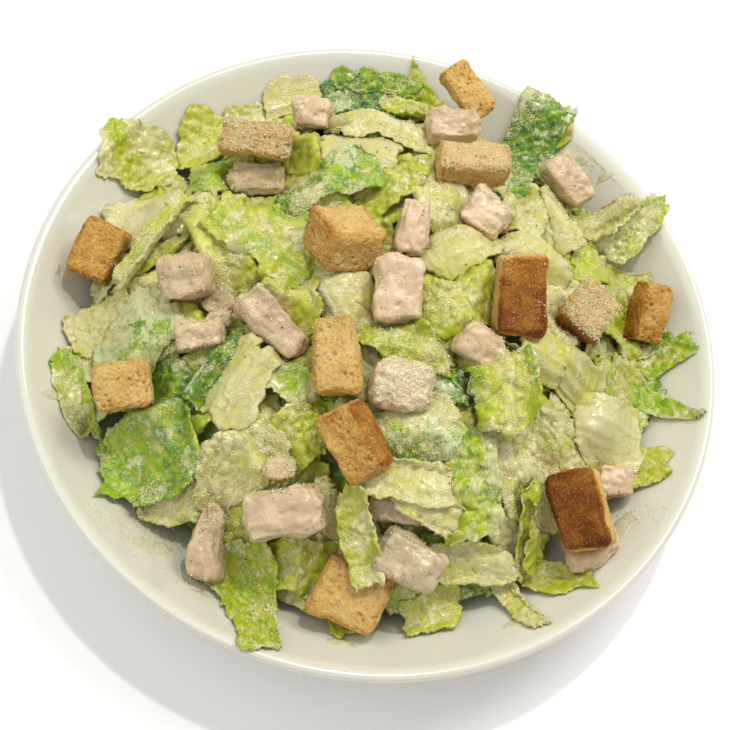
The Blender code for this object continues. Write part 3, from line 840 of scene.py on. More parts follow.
def solid_skin(node, steps):
    """Points where rays from a solid's middle, aimed at an even grid on its own box, leave it, then eased.
    Also gives each point's place in the box, from -1 to 1, and the box's directions."""
    corners = triangles_of(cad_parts[node].data)
    middle = (corners.reshape(-1, 3).min(0) + corners.reshape(-1, 3).max(0)) / 2
    axes = own_axes(corners)
    local = (corners.reshape(-1, 3) - middle) @ axes.T
    half = (local.max(0) - local.min(0)) / 2
    middle = middle + ((local.max(0) + local.min(0)) / 2) @ axes
    cube, faces = ball_grid(steps)
    rays = (cube * half) @ axes
    rays /= np.linalg.norm(rays, axis=1, keepdims=True)
    points = middle + rays * distances(middle, rays, corners)[:, None]
    points = eased(points, faces, EASE_TIMES)
    return points, faces, (points - middle) @ axes.T / half, axes


# Croutons: how toasted, how much cheese lies on it, and its crusts, each a direction and how much browner
BREAD = {
    1: (0.30, 0.60, ()),
    2: (0.26, 0.05, ()),
    3: (0.20, 0.60, (((0, -0.9, 0.1), 0.10),)),
    4: (0.25, 0.15, (((-0.9, -0.3, 0.2), 0.16),)),
    5: (0.24, 0.04, (((0.1, -0.4, 0.9), 0.54),)),
    6: (0.28, 0.62, (((-0.6, -0.7, 0.2), 0.45),)),
    7: (0.42, 0.12, (((-0.9, 0, 0.3), 0.20),)),
    8: (0.42, 0.05, ()),
    9: (0.25, 0.05, ()),
    10: (0.20, 0.05, (((-0.9, 0, 0.2), 0.10),)),
    11: (0.40, 0.10, (((0.9, 0.2, 0.2), 0.25),)),
    12: (0.24, 0.05, ()),
    13: (0.24, 0.0, (((-0.5, -0.4, 0.8), 0.59),)),
}


def crouton(number):
    """A bread cube: its solid's surface with pits and crumb holes, worn at its edges, and uneven all over."""
    toast, dust, crusts = BREAD[number]
    points, faces, local, axes = solid_skin(f"crouton_{number:02d}", CROUTON_STEPS)
    normal = point_normals(points, faces)
    seed = 300 + number
    flat = np.sort(np.abs(local), axis=1)
    edge = smooth(0.72, 1.0, flat[:, 1])
    near, _ = spots(points, 2.3 * MM, seed)
    small, _ = spots(points, 1.1 * MM, seed + 7)
    open_crumb = smooth(0.1, 0.6, noise(points, 5 * MM, seed + 3) + 0.35)
    # Pits: sunk into the surface below, and the finish paints shade in them by this same share
    shaded_pit = smooth(0.42, 0.12, near) * open_crumb
    crust = np.zeros(len(points))
    for direction, more in crusts:
        aim = np.array(direction) / np.linalg.norm(direction)
        best = np.abs(axes @ aim).argmax()
        out = local[:, best] * np.sign(axes[best] @ aim)
        face = smooth(0.55, 0.95, out - 0.25 * (flat[:, 1] > 0.97))
        crust = np.maximum(crust, face * more)
    skin = 0.9 * noise(points, 11 * MM, seed + 8) + 0.55 * rough(points, 6 * MM, seed + 9) + 0.2
    skin = skin - 0.6 * edge * (0.3 + 1.1 * noise(points, 3.5 * MM, seed + 13))
    crumb = 0.22 * noise(points, 1.2 * MM, seed + 27) - 0.45 * smooth(0.5, 0.1, small)
    skin = skin + (crumb - 0.75 * shaded_pit) * (1 - 0.7 * (crust > 0.2))
    heat = toast - 0.035 + crust + 0.25 * edge + 0.10 * noise(points, 3 * MM, seed + 19)
    cheese = dust * smooth(-0.2, 0.6, normal[:, 2])
    # What the finish reads: toast, cheese on top, and the pits' share of painted shade
    colours = np.clip(np.stack([heat, cheese, shaded_pit], -1), 0, 1)
    return points + normal * (skin * MM)[:, None], faces, colours


# Chicken: how seared it is, how much cheese and dressing lie on it, and how far its crumbs stand out
Meat = namedtuple("Meat", "sear dust sauce crumbly", defaults=(0.26, 0.12, 0.3, 0.25))
MEAT = {
    1: Meat(dust=0.3),
    2: Meat(0.46, dust=0.2),
    3: Meat(0.42, crumbly=0.8),
    4: Meat(0.38, dust=0.5, crumbly=1.2),
    5: Meat(0.52, dust=0.2, sauce=0.25, crumbly=0.7),
    7: Meat(0.10),
    8: Meat(0.10),
    9: Meat(0.42, dust=0.35, crumbly=0.9),
    11: Meat(0.40),
    12: Meat(0.40),
    13: Meat(0.36, dust=1.0, sauce=0.5, crumbly=1.2),
    14: Meat(0.36),
    15: Meat(0.56),
    16: Meat(0.68, sauce=0.7),
    20: Meat(0.35),
    21: Meat(0.62),
}


def chunk(number):
    """A piece of diced chicken: its solid's surface with lumps, torn fibres drawn out along it, and nicks."""
    row = MEAT.get(number, Meat())
    points, faces, _, axes = solid_skin(f"chicken_{number:02d}", CHUNK_STEPS)
    normal = point_normals(points, faces)
    seed = 500 + number
    along = points @ axes.T * np.array([1.0, 1.0, 0.28])
    fibre = rough(along, 2.2 * MM, seed + 5, 2)
    torn = smooth(0.15, 0.6, noise(points, 5 * MM, seed + 7))
    near, _ = spots(points, 4.5 * MM, seed + 9)
    crumbs = np.maximum(noise(points, 1.3 * MM, seed + 23), 0)
    crumbs = smooth(0.1, 0.7, noise(points, 7 * MM, seed + 21)) * crumbs
    skin = noise(points, 9 * MM, seed + 31) + 0.7 * rough(points, 5 * MM, seed) + 0.25
    skin = skin + 0.6 * fibre * (0.35 + torn) - 0.6 * smooth(0.35, 0.1, near)
    skin = skin + row.crumbly * crumbs + 0.08 * noise(points, 1.5 * MM, seed + 25)
    sear = row.sear + 0.12 * noise(points, 5 * MM, seed + 15)
    dust = row.dust * smooth(0.0, 0.7, normal[:, 2])
    sauce = np.full(len(points), row.sauce)
    colours = np.clip(np.stack([sear, dust, sauce], -1), 0, 1)
    return points + normal * (skin * MM)[:, None], faces, colours


# ---------------------------------------------------------------- the loose leaves


def tone(inner, outer, sauce=0.35, cheese=0.3):
    """Greenness by the rib and at the sides, dressing and cheese, as a leaf's row takes them."""
    return dict(inner=inner, outer=outer, sauce=sauce, cheese=cheese)


# Kinds of leaf
FLAT = dict(blister=0.35, ruffle=0.35)
PALE = tone(0.10, 0.34, 0.45, 0.40)
RIB = dict(tone(0.04, 0.16, 0.35, 0.2), **FLAT)
YELLOW = tone(0.26, 0.46, 0.25, 0.2)
BRIGHT = tone(0.40, 0.64, 0.36, 0.12)
DEEP = tone(0.60, 0.94, 0.34, 0.10)

# The larger leaves: x, y, turn, length, width, nose, roll, lift, bow and cup
LEAVES = (
    Leaf(-99, 45, 12, 27, 21, 6, 8, 6, 1, 2, rib=-1.3, ribw=3, **tone(0.26, 0.48, 0.40, 0.05)),
    Leaf(-88, 19, 14, 27, 21, -4, 4, 3.5, 1, -1, rib=0.0, ribw=9, **tone(0.04, 0.22, 0.75, 0.1), **FLAT),
    Leaf(-80, 4, -115, 38, 8, -8, 12, 4, 1, 1, over=True, rib=0.0, ribw=3, **tone(0.3, 0.5, 0.4)),
    Leaf(-77, 61, 102, 23, 19, 5, -8, 4.5, 2, 2, **YELLOW),
    Leaf(-70, 36, 5, 14, 15, 0, 8, 2, 1, 1, **BRIGHT),
    Leaf(-71, 24, 45, 13, 13, 0, 0, 1, 0, 1, **PALE),
    Leaf(-56, 5, -52, 33, 16, -10, 14, 4, 2, 2, rib=-0.7, ribw=4, **YELLOW),
    Leaf(-43, 15, 160, 38, 27, 4, -6, 4.6, 2, 1, rib=0.5, ribw=3, **tone(0.42, 0.60, 0.32, 0.05)),
    Leaf(-30, 39, 32, 33, 17, 8, -6, 6, 3, -1, **tone(0.55, 0.80, 0.45, 0.3)),
    Leaf(-56, 78, 30, 15, 16, 4, 0, 2, 1, 1, **BRIGHT),
    Leaf(-54, 89, 30, 21, 12, 12, -10, 4, 1, 1, rib=0, ribw=4, **RIB),
    Leaf(-30, 93, 20, 30, 24, 4, -14, 4, 3, 1, **tone(0.70, 1.0, 0.30, 0.05)),
    Leaf(-25, 104, 14, 30, 12, 4, -24, 5, 1, 2, **tone(0.5, 0.8, 0.2, 0.05)),
    Leaf(-7, 97, -35, 26, 23, 8, -10, 5, -3, 4, fold=70, at=0.2, **YELLOW),
    Leaf(-19, 74, 10, 36, 22, -5, 4, 4, 2, 1, rib=0.1, ribw=5, **PALE),
    Leaf(-22, 56, 5, 25, 17, 6, -6, 4, 1, -1, rib=0, ribw=6, **RIB),
    Leaf(-35, 53, -5, 22, 14, -6, 8, 3.4, 2, 1, **tone(0.36, 0.46, 0.1, 0.2)),
    Leaf(-10, 45, 50, 23, 17, 10, 4, 3, 1, 1, **YELLOW),
    Leaf(8, 46, 30, 18, 22, -8, 6, 3, 1, 1, rib=0, ribw=5, **PALE),
    Leaf(19, 28, 40, 30, 19, 6, -10, 5, 3, -3, rib=0, ribw=8, **tone(0.04, 0.26, 0.25, 0.1), **FLAT),
    Leaf(34, 93, -105, 44, 20, -12, 8, 5, 2, 1, **DEEP),
    Leaf(43, 106, -70, 13, 11, 0, 0, 3, 1, 1, **YELLOW),
    Leaf(39, 57, -100, 32, 17, 6, -4, 3, 1, 1, **PALE),
    Leaf(52, 57, -65, 26, 12, -6, 18, 5, 1, 2, rib=0, ribw=5, **RIB),
    Leaf(68, 76, 40, 26, 13, 14, 16, 6, -2, 3, rib=0, ribw=3, **PALE),
    Leaf(80, 72, 58, 32, 20, 14, 14, 8, 3, 5, over=True, taper=0.6, fold=70, at=0.3, **tone(0.34, 0.6, 0.45)),
    Leaf(77, 47, 15, 34, 20, 4, -6, 5, 2, 3, fold=60, at=0.55, **YELLOW),
    Leaf(45, 34, 5, 25, 13, -6, 10, 5, 1, -2, rib=0, ribw=5, **RIB),
    Leaf(58, 23, -90, 32, 17, 8, -6, 3, 1, 1, **tone(0.08, 0.30, 0.6, 0.45)),
    Leaf(81, 31, 5, 22, 19, -4, 6, 3, 1, 1, **YELLOW),
    Leaf(-90, -23, 35, 25, 18, 4, 6, 3, 1, 1, **PALE),
    Leaf(-89, -47, -60, 30, 12, -6, 12, 3, 1, 1, **BRIGHT),
    Leaf(-75, -30, 50, 30, 23, 6, -4, 4, 2, 1, **tone(0.5, 0.8, 0.55, 0.3)),
    Leaf(-58, -43, -50, 22, 15, -8, 10, 3, 1, 2, **DEEP),
    Leaf(-43, -35, -110, 32, 11, 6, -14, 4, 2, 2, **DEEP),
    Leaf(-36, -42, -105, 27, 16, -8, 6, 5, 1, -1, rib=0, ribw=6, **RIB),
    Leaf(-46, -53, 50, 13, 8, 0, 0, 3, 1, 1, **YELLOW),
    Leaf(-57, -65, 18, 31, 24, 4, -6, 4, 3, 1, ruffle=1.7, **tone(0.54, 0.74, 0.26, 0.0)),
    Leaf(-31, -63, 40, 28, 17, 6, 6, 4, 1, 1, **tone(0.06, 0.30, 0.45, 0.75)),
    Leaf(-18, -55, 35, 28, 19, -6, 8, 4, 2, 1, **YELLOW),
    Leaf(-24, -66, 30, 14, 10, 0, 0, 1, 1, 1, **DEEP),
    Leaf(-30, -8, -75, 26, 20, 6, -8, 4.6, 1, 1, fold=60, at=0.5, **tone(0.2, 0.42, 0.3, 0.25)),
    Leaf(-13, -3, -45, 30, 20, -6, 8, 4.4, 2, -2, rib=-0.2, ribw=5, **RIB),
    Leaf(-21, -37, -20, 18, 12, 0, 0, 2, 1, 1, **BRIGHT),
    Leaf(11, -14, -8, 31, 17, 4, -10, 4.8, 1, 2, fold=80, at=0.35, **tone(0.34, 0.56, 0.3, 0.3)),
    Leaf(24, 8, 35, 26, 20, 6, 6, 4, 1, 1, **YELLOW),
    Leaf(19, -9, -55, 20, 14, 0, 6, 3, 1, 1, **PALE),
    Leaf(21, -42, 30, 28, 20, 6, -8, 6, 2, -2, rib=0.5, ribw=5, ruffle=0.4, **tone(0.48, 0.98, 0.50, 0.42)),
    Leaf(28, -22, 5, 16, 13, 0, 0, 2, 1, 1, **DEEP),
    Leaf(62, -3, -5, 31, 15, -4, 8, 5, 1, -1, rib=0, ribw=5, **tone(0.12, 0.34, 0.3, 0.1), **FLAT),
    Leaf(
        46, -20, -72, 30, 23, 4, -4, 10.5, 3, -3,
        over=True, rib=0.0, ribw=2, taper=0.25, fold=60, at=0.45, ruffle=1.6, **tone(0.26, 0.70, 0.36, 0.25),
    ),
    Leaf(80, 6, -40, 13, 10, 0, 0, 3, 1, 1, **BRIGHT),
    Leaf(100, 29, 40, 18, 13, 8, 6, 4, -1, 3, fold=60, at=0.3, **BRIGHT),
    Leaf(103, 9, -17, 23, 12, 4, 6, 5, 1, 2, taper=0.7, **BRIGHT),
    Leaf(89, 7, -80, 26, 14, -4, 6, 3, 1, 1, **PALE),
    Leaf(
        87, -11, 15, 25, 20, 7, 3, 6, 3, -2,
        rib=0, ribw=5, ruffle=0.7, blister=0.6, **tone(0.0, 0.30, 0.90, 0.0),
    ),
    Leaf(96, -17, 15, 27, 13, 6, -6, 3, 2, 1, **YELLOW),
    Leaf(69, -24, 20, 26, 22, -4, 6, 4, 1, 1, **tone(0.06, 0.30, 0.6, 0.5)),
    Leaf(
        -12, -98, -68, 37, 28, 4, -4, 4.4, 2, 2,
        taper=0.45, fold=50, at=-0.2, ruffle=1.4, **tone(0.38, 0.6, 0.34, 0.0),
    ),
    Leaf(-22, -83, -60, 30, 15, -4, 6, 2, 1, 1, **tone(0.3, 0.56, 0.4, 0.2)),
    Leaf(-3, -84, 25, 28, 14, 0, 0, 3, 1, 2, **tone(0.2, 0.46, 0.3, 0.1)),
    Leaf(3, -68, -35, 17, 9, 0, 6, 2, 1, 1, rib=0, ribw=3, **PALE),
    Leaf(13, -75, -60, 29, 12, -8, 10, 5, -2, 2, over=True, **tone(0.22, 0.42, 0.42, 0.2)),
    Leaf(22, -74, 35, 18, 9, 0, 0, 3, 1, 1, **PALE),
    Leaf(23, -57, 10, 26, 14, 4, -8, 6, 1, -1, over=True, rib=0, ribw=3, fold=50, at=0.4, **PALE),
    Leaf(31, -62, -12, 22, 12, -4, 6, 6, 1, 2, over=True, rib=0, ribw=3, **PALE),
    Leaf(43, -85, 35, 19, 13, 4, -6, 3, 1, 1, **YELLOW),
    Leaf(53, -73, 30, 13, 7, 0, 0, 2, 1, 1, **DEEP),
    Leaf(43, -51, -68, 32, 18, -6, 8, 5.4, 2, 3, ruffle=1.2, **tone(0.34, 0.60, 0.45, 0.2)),
    Leaf(52, -69, 20, 35, 11, 6, -10, 4, -2, 1, rib=0, ribw=3, fold=70, at=0.3, ruffle=1.3, **PALE),
    Leaf(68, -71, -46, 31, 11, -8, 6, 3, -1, 1, fold=60, at=-0.3, **PALE),
    Leaf(80, -61, 5, 22, 11, 4, 4, 3, 1, 1, **YELLOW),
    Leaf(67, -53, -68, 24, 14, -6, 14, 4.6, 1, 5, fold=110, at=0.1, **YELLOW),
    Leaf(57, -56, -35, 17, 12, 0, 0, 3, 1, 1, **PALE),
    Leaf(59, -35, -5, 23, 16, 0, 6, 4, 1, 1, **PALE),
    Leaf(77, -33, 30, 18, 13, 0, 0, 3, 1, 1, **PALE),
    Leaf(-58, 44, -20, 12, 10, 0, 0, 2, 1, 1, **PALE),
    Leaf(-65, 74, 20, 20, 15, 4, 4, 3, 1, 1, **PALE),
    Leaf(-66, -26, -20, 20, 16, 6, 8, 3.6, 1, 2, fold=60, at=0.4, **tone(0.5, 0.8, 0.5, 0.2)),
    Leaf(60, -38, -60, 28, 22, 4, 8, 4.2, 1, 1, **tone(0.20, 0.44, 0.5, 0.6)),
    Leaf(56, 20, -80, 30, 18, 2, 4, 4.0, 1, 1, **tone(0.10, 0.34, 0.5, 0.9)),
    Leaf(-21, 65, 0, 16, 10, 0, 0, 2, 1, 1, **YELLOW),
    Leaf(-49, -76, 14, 22, 13, 6, -4, 3, 2, 1, **tone(0.06, 0.28, 0.45, 0.7)),
)

# Smaller leaves, under the large ones and in the gaps between them: how many there are, and how far out
GAP_COUNT = 80
GAP_REACH = 92 * MM
GAP_CELL = 2.5 * MM
UNDER_COUNT = 130
UNDER_REACH = 97

# How far apart the points of each lot of leaves are, in millimetres
LEAF_STEP = 0.46
GAP_STEP = 0.66
UNDER_STEP = 0.95

# Reach of the smaller leaves, in millimetres, at some bearings: nearer where the plate shows in front
EDGE_BEARINGS = (180, 215, 241, 256, 275, 292, 303, 318, 360)
EDGE_REACHES = (97, 97, 72, 88, 94, 84, 84, 97, 97)

# Where each lot's seeds start
LEAF_SEED = 20
UNDER_SEED = 120
GAP_SEED = 420


def disc_grid(steps):
    """A square grid u, v carried to a disc: u sqrt(1 - v^2 / 2), v sqrt(1 - u^2 / 2)."""
    line = np.linspace(-1, 1, steps)
    u, v = np.meshgrid(line, line, indexing="ij")
    return u * np.sqrt(1 - v**2 / 2), v * np.sqrt(1 - u**2 / 2)


def core_plate(bed):
    """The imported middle: a disc, its top the mound, lowered and broken into cells, its base on the bowl."""
    x, y = disc_grid(CORE_STEPS)
    far = np.hypot(x, y)
    x, y = CORE_RADIUS * x, CORE_RADIUS * y
    flat = np.stack([x, y], -1)
    near, beyond = spots(flat, 9 * MM, 5)
    top = mound_height(x, y) - 7 * MM + 3.0 * MM * rough(flat, 12 * MM, 2)
    top = top + 2.5 * MM * (beyond - near) - 8 * MM * far**6
    base = inner_height(np.hypot(x, y)) + 0.4 * MM
    top = np.minimum(top, bed.ceiling(flat) - 1.0 * MM)
    upper = np.stack([x, y, np.maximum(top, base + 1 * MM)], -1)
    lower = np.stack([x, y, base], -1)
    green = 0.75 + 0.25 * noise(flat, 9 * MM, 8)
    look = np.stack([green, 0.1 + 0 * green, 0.05 + 0 * green], -1).reshape(-1, 3)
    points = np.concatenate([upper.reshape(-1, 3), lower.reshape(-1, 3)])
    return points, plate_faces(*x.shape), np.clip(np.concatenate([look, look]), 0, 1)


def steps_of(leaf, step):
    """Rows and columns that put a leaf's points about a step apart, within limits."""
    return int(np.clip(leaf.length / step, 12, 96)), int(np.clip(leaf.width / step, 12, 72))


def edge_reach(x, y):
    """How far out the smaller leaves may lie at the bearing of x, y."""
    bearing = np.degrees(np.arctan2(y, x)) % 360
    return np.interp(bearing, EDGE_BEARINGS, EDGE_REACHES) * MM


def under_leaves(chance):
    """Rows for the smaller leaves below the large ones, strewn evenly: the radius is the root of a share."""
    made = []
    for _ in range(UNDER_COUNT):
        radius = UNDER_REACH * math.sqrt(chance.uniform(0, 1))
        angle = chance.uniform(0, 2 * math.pi)
        radius = min(radius, edge_reach(math.cos(angle), math.sin(angle)) / MM)
        place = (radius * math.cos(angle), radius * math.sin(angle))
        made.append(chance_leaf(chance, place, (15, 27), (-4.0, 0.5), chance.uniform(0.2, 0.65)))
    return made


def chance_leaf(chance, place, lengths, lifts, shade):
    """A row for one leaf that lies as it fell: its turn, tilts, bends and fold drawn from ranges."""
    length = chance.uniform(*lengths)
    return Leaf(
        *place,
        chance.uniform(0, 360),
        length,
        length * chance.uniform(0.5, 0.8),
        chance.uniform(-14, 14),
        chance.uniform(-16, 16),
        chance.uniform(*lifts),
        chance.uniform(-2, 3),
        chance.uniform(-2, 3),
        inner=max(shade - 0.15, 0.02),
        outer=shade + 0.2,
        sauce=chance.uniform(0.1, 0.6),
        cheese=chance.uniform(0.0, 0.4),
        taper=chance.uniform(0, 0.4),
        skew=chance.uniform(-0.3, 0.3),
        ruffle=chance.uniform(0.5, 1.0),
        fold=chance.choice([0.0, 0.0, 60.0, 110.0]),
        at=chance.uniform(-0.3, 0.5),
    )


def gap_leaves(chance, tops, bed):
    """Rows for leaves in the deepest holes that the large ones leave: the lowest place of a coarse map of the
    tops, against the mound, again and again, with the map filled round each place that is taken."""
    count = int(2 * BED_HALF / GAP_CELL)
    points = np.concatenate([part[0] for part in tops])
    index = ((points[:, :2] + BED_HALF) / GAP_CELL).astype(int)
    highest = np.full((count, count), 0.0)
    np.maximum.at(highest, (index[:, 0], index[:, 1]), points[:, 2])
    line = (np.arange(count) + 0.5) * GAP_CELL - BED_HALF
    x, y = np.meshgrid(line, line, indexing="ij")
    step = int(GAP_CELL / BED_CELL)
    squares = bed.high[: count * step, : count * step].reshape(count, step, count, step)
    covered = squares.max((1, 3)) > 0
    outside = np.hypot(x, y) > np.minimum(GAP_REACH, edge_reach(x, y))
    depth = np.where(covered | outside, 0, np.clip(mound_height(x, y) - highest, 0, 12 * MM))
    near = sum(np.roll(np.roll(depth, i, 0), j, 1) for i in (-1, 0, 1) for j in (-1, 0, 1))
    made = []
    for _ in range(GAP_COUNT):
        i, j = np.unravel_index(near.argmax(), near.shape)
        place = (x[i, j] / MM, y[i, j] / MM)
        made.append(chance_leaf(chance, place, (15, 25), (-1.5, 1.0), chance.uniform(0.08, 0.5)))
        near = near * smooth(6 * MM, 13 * MM, np.hypot(x - x[i, j], y - y[i, j]))
    return made


def settle(made, slot, *replaced):
    """Hangs a piece under its body and hides the solids that it stands for; its slot, what it is made of, is
    not used.
    """
    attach(made, ROW)
    if replaced:
        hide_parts(*replaced)


def dress(name, parts, finish, slot, *replaced):
    """Puts several (points, faces, colours) in the scene as one piece of the salad."""
    points, faces, colours = joined(parts)
    settle(put_mesh(name, points, faces, finish, colours), slot, *replaced)


chance = np.random.default_rng(11)
toppings = [f"crouton_{n:02d}" for n in range(1, CROUTONS + 1)]
toppings += [f"chicken_{n:02d}" for n in range(1, CHUNKS + 1)]
bed = Bed(toppings)

# Points, facings and colour values of every surface that cheese can fall on, and the leaves by their kind
tops = []
groups = {}


def add_leaf(leaf, seed, step, kind):
    """Lays one leaf, and keeps it with its kind and its upper side among the tops."""
    points, faces, colours, upper = leaf_plate(leaf, seed, *steps_of(leaf, step), bed)
    groups.setdefault(kind, []).append((points, faces, colours))
    count = upper.shape[0] * upper.shape[1]
    tops.append((upper.reshape(-1, 3), normals_of(upper).reshape(-1, 3), colours[:count]))


def kind_of(leaf, index):
    """Leaves with a wide rib, pale ones and two lots of green ones are joined apart."""
    if leaf.ribw >= 4:
        return "romaine_ribs"
    if leaf.outer < 0.4:
        return "romaine_pale"
    return "romaine_green_a" if index % 2 else "romaine_green_b"


def add_toppings(piece, node, count, shape, finish, cling, less):
    """A finished skin for each topping's solid, on which cheese lies by its colours: cling * value - less."""
    for number in range(1, count + 1):
        points, faces, colours = shape(number)
        made = put_mesh(f"{piece}_{number:02d}", points, faces, finish, colours)
        settle(made, node, f"{node}_{number:02d}")
        tops.append((points, point_normals(points, faces), cling * colours[:, [0, 2, 1]] - less))


# The highest leaf is laid first, and those that lie over the toppings before all others
for index, leaf in sorted(enumerate(LEAVES), key=lambda row: -row[1].lift - 20 * row[1].over):
    add_leaf(leaf, LEAF_SEED + index, LEAF_STEP, kind_of(leaf, index))
for index, leaf in enumerate(gap_leaves(chance, tops, bed)):
    add_leaf(leaf, GAP_SEED + index, GAP_STEP, "romaine_between")
for index, leaf in enumerate(under_leaves(chance)):
    add_leaf(leaf, UNDER_SEED + index, UNDER_STEP, "romaine_under_a" if index % 2 else "romaine_under_b")

romaine = leaf_finish()
for name, parts in groups.items():
    dress(name, parts, romaine, "lettuce")
dress("romaine_packed_middle", [core_plate(bed)], romaine, "lettuce", "lettuce_heap")
add_toppings("bread", "crouton", CROUTONS, crouton, bread_finish(), 0.7, 0.11)
add_toppings("meat", "chicken", CHUNKS, chunk, meat_finish(), 1.0, 0.0)
settle(put_mesh("turned_bowl", *bowl_grid(), glaze_finish()), "bowl", "bowl")


# ---------------------------------------------------------------- grains, flecks and smears

GRAINS = 36000
PEPPER = 260
CRUMBS = 1500
GRAIN_CELL = 0.7 * MM
GRAIN_CELLS = 400
OPEN_SLACK = 0.8 * MM
GRAIN_FLATNESS = 0.7
OCTAHEDRON = np.array([[1, 0, 0], [-1, 0, 0], [0, 1, 0], [0, -1, 0], [0, 0, 1], [0, 0, -1]], float)
UPPER_FACES = [[0, 2, 4], [2, 1, 4], [1, 3, 4], [3, 0, 4]]
LOWER_FACES = [[2, 0, 5], [1, 2, 5], [3, 1, 5], [0, 3, 5]]
OCTAHEDRON_FACES = np.array(UPPER_FACES + LOWER_FACES)

# Crumbs on the bare plate: x, y and spread each way of four drifts, and the share of the crumbs in each
CRUMB_PLACES = np.array([[-53, -87, 9, 4], [-38, -97, 6, 3], [58, 94, 7, 4], [100, -34, 5, 3]]) * MM
CRUMB_SHARES = (0.62, 0.14, 0.14, 0.10)


def seen_from_above(points, normals, slack):
    """Which points face up with no more than a slack above them, on a map of each square's highest point."""
    cell = np.clip(((points[:, :2] + BED_HALF) / GRAIN_CELL).astype(int), 0, GRAIN_CELLS - 1)
    key = cell[:, 0] * GRAIN_CELLS + cell[:, 1]
    highest = np.full(GRAIN_CELLS**2, -1.0)
    np.maximum.at(highest, key, points[:, 2])
    return (points[:, 2] > highest[key] - slack) & (normals[:, 2] > 0.2)


def grains(name, places, sizes, finish, slot, chance):
    """One uneven eight-faced grain at each place: an octahedron, stretched, then turned by a quaternion."""
    count = len(places)
    stretch = chance.uniform(0.6, 1.25, (count, 1, 3)) * np.array([1, 1, GRAIN_FLATNESS])
    shape = OCTAHEDRON[None] * stretch + chance.uniform(-0.18, 0.18, (count, 6, 3))
    turn = chance.normal(size=(count, 4))
    turn /= np.linalg.norm(turn, axis=1, keepdims=True)
    w, x, y, z = turn.T
    spun = np.stack(
        [
            np.stack([1 - 2 * (y * y + z * z), 2 * (x * y - z * w), 2 * (x * z + y * w)], -1),
            np.stack([2 * (x * y + z * w), 1 - 2 * (x * x + z * z), 2 * (y * z - x * w)], -1),
            np.stack([2 * (x * z - y * w), 2 * (y * z + x * w), 1 - 2 * (x * x + y * y)], -1),
        ],
        1,
    )
    points = np.einsum("nij,nkj->nki", spun, shape) * sizes[:, None, None] / 2 + places[:, None]
    faces = (OCTAHEDRON_FACES[None] + 6 * np.arange(count)[:, None, None]).reshape(-1, 3)
    settle(put_mesh(name, points.reshape(-1, 3), faces, finish, shade=False), slot)


where = np.concatenate([part[0] for part in tops])
facing = np.concatenate([part[1] for part in tops])
look = np.concatenate([part[2] for part in tops])
visible = seen_from_above(where, facing, OPEN_SLACK)
where, facing, look = where[visible], facing[visible], look[visible]

# Cheese gathers in drifts and clumps, and where the surface says that it clings
drift = smooth(0.0, 0.7, rough(where, 16 * MM, 901, 2) + 0.15)
clump = (0.04 + drift**1.5) * (0.25 + smooth(0.0, 0.6, noise(where, 2.6 * MM, 905)))
likely = clump * np.maximum(0.12 + look[:, 2], 0) ** 1.2
picked = chance.choice(len(where), GRAINS, replace=True, p=likely / likely.sum())
jitter = chance.normal(0, 0.35 * MM, (GRAINS, 3))
sizes = (0.30 + 0.50 * chance.uniform(0, 1, GRAINS) ** 3) * MM
places = where[picked] + jitter * [1, 1, 0.2] + facing[picked] * 0.1 * MM
cheese = cheese_finish()
for lot, name in enumerate(("cheese_grains_a", "cheese_grains_b")):
    grains(name, places[lot::2], sizes[lot::2], cheese, "lettuce", chance)

picked = chance.choice(len(where), PEPPER, replace=False)
sizes = chance.uniform(0.35, 0.8, PEPPER) * MM
pepper = plain_finish("cracked_pepper", (0.05, 0.04, 0.025), 0.6)
grains("pepper_flecks", where[picked] + facing[picked] * 0.15 * MM, sizes, pepper, "crouton", chance)

middle = CRUMB_PLACES[chance.choice(len(CRUMB_PLACES), CRUMBS, p=CRUMB_SHARES)]
plan = middle[:, :2] + chance.normal(0, 1, (CRUMBS, 2)) * middle[:, 2:]
plan *= np.minimum(1, (RIM_INSIDE - 2 * MM) / np.hypot(plan[:, 0], plan[:, 1]))[:, None]
floor_at = inner_height(np.hypot(plan[:, 0], plan[:, 1]))
places = np.stack([plan[:, 0], plan[:, 1], floor_at + 0.15 * MM], -1)
sizes = (0.3 + 0.7 * chance.uniform(0, 1, CRUMBS) ** 3) * MM
grains("cheese_crumbs_on_plate", places, sizes, cheese, "lettuce", chance)


SMEAR_STEPS = 15


def smear(x, y, wide, turn, seed):
    """A thin film of dressing on the bowl: a disc of uneven outline, 1 - r^2 of its middle's height."""
    a, b = disc_grid(SMEAR_STEPS)
    far = np.hypot(a, b)
    bearing = np.stack([a / np.maximum(far, 1e-6), b / np.maximum(far, 1e-6)], -1)
    grow = wide * MM * (1 + 0.45 * noise(bearing, 0.8, seed))
    angle = math.radians(turn)
    px = x * MM + grow * (a * math.cos(angle) - 0.45 * b * math.sin(angle))
    py = y * MM + grow * (a * math.sin(angle) + 0.45 * b * math.cos(angle))
    base = inner_height(np.hypot(px, py))
    film = 0.42 * MM * (1 - far**2) * (1 + 0.5 * noise(np.stack([px, py], -1), 2.5 * MM, seed + 2))
    upper = np.stack([px, py, base + 0.03 * MM + film], -1).reshape(-1, 3)
    lower = np.stack([px, py, base - 0.10 * MM], -1).reshape(-1, 3)
    points = np.concatenate([upper, lower])
    return points, plate_faces(*a.shape), np.zeros_like(points)


# Smears: x, y, half width, turn and seed
SMEARS = (
    (-50, -90, 7, 30, 1),
    (-96, -52, 4, 60, 2),
    (-104, 22, 3.5, 80, 3),
    (52, 97, 6, -20, 4),
    (66, 92, 3, 30, 5),
    (98, -38, 5, 70, 6),
    (18, -104, 4, 10, 7),
    (70, -82, 4, 40, 8),
    (-30, -102, 2.5, 0, 9),
    (-110, -8, 2, 90, 10),
)
dressing = plain_finish("dressing", (0.50, 0.49, 0.32), 0.16)
dress("dressing_smears", [smear(*row) for row in SMEARS], dressing, "lettuce")


# ---------------------------------------------------------------- stage, light and camera

FLOOR_HALF = 4.0
LIGHT_AIM = np.array([0, 0, 0.04])


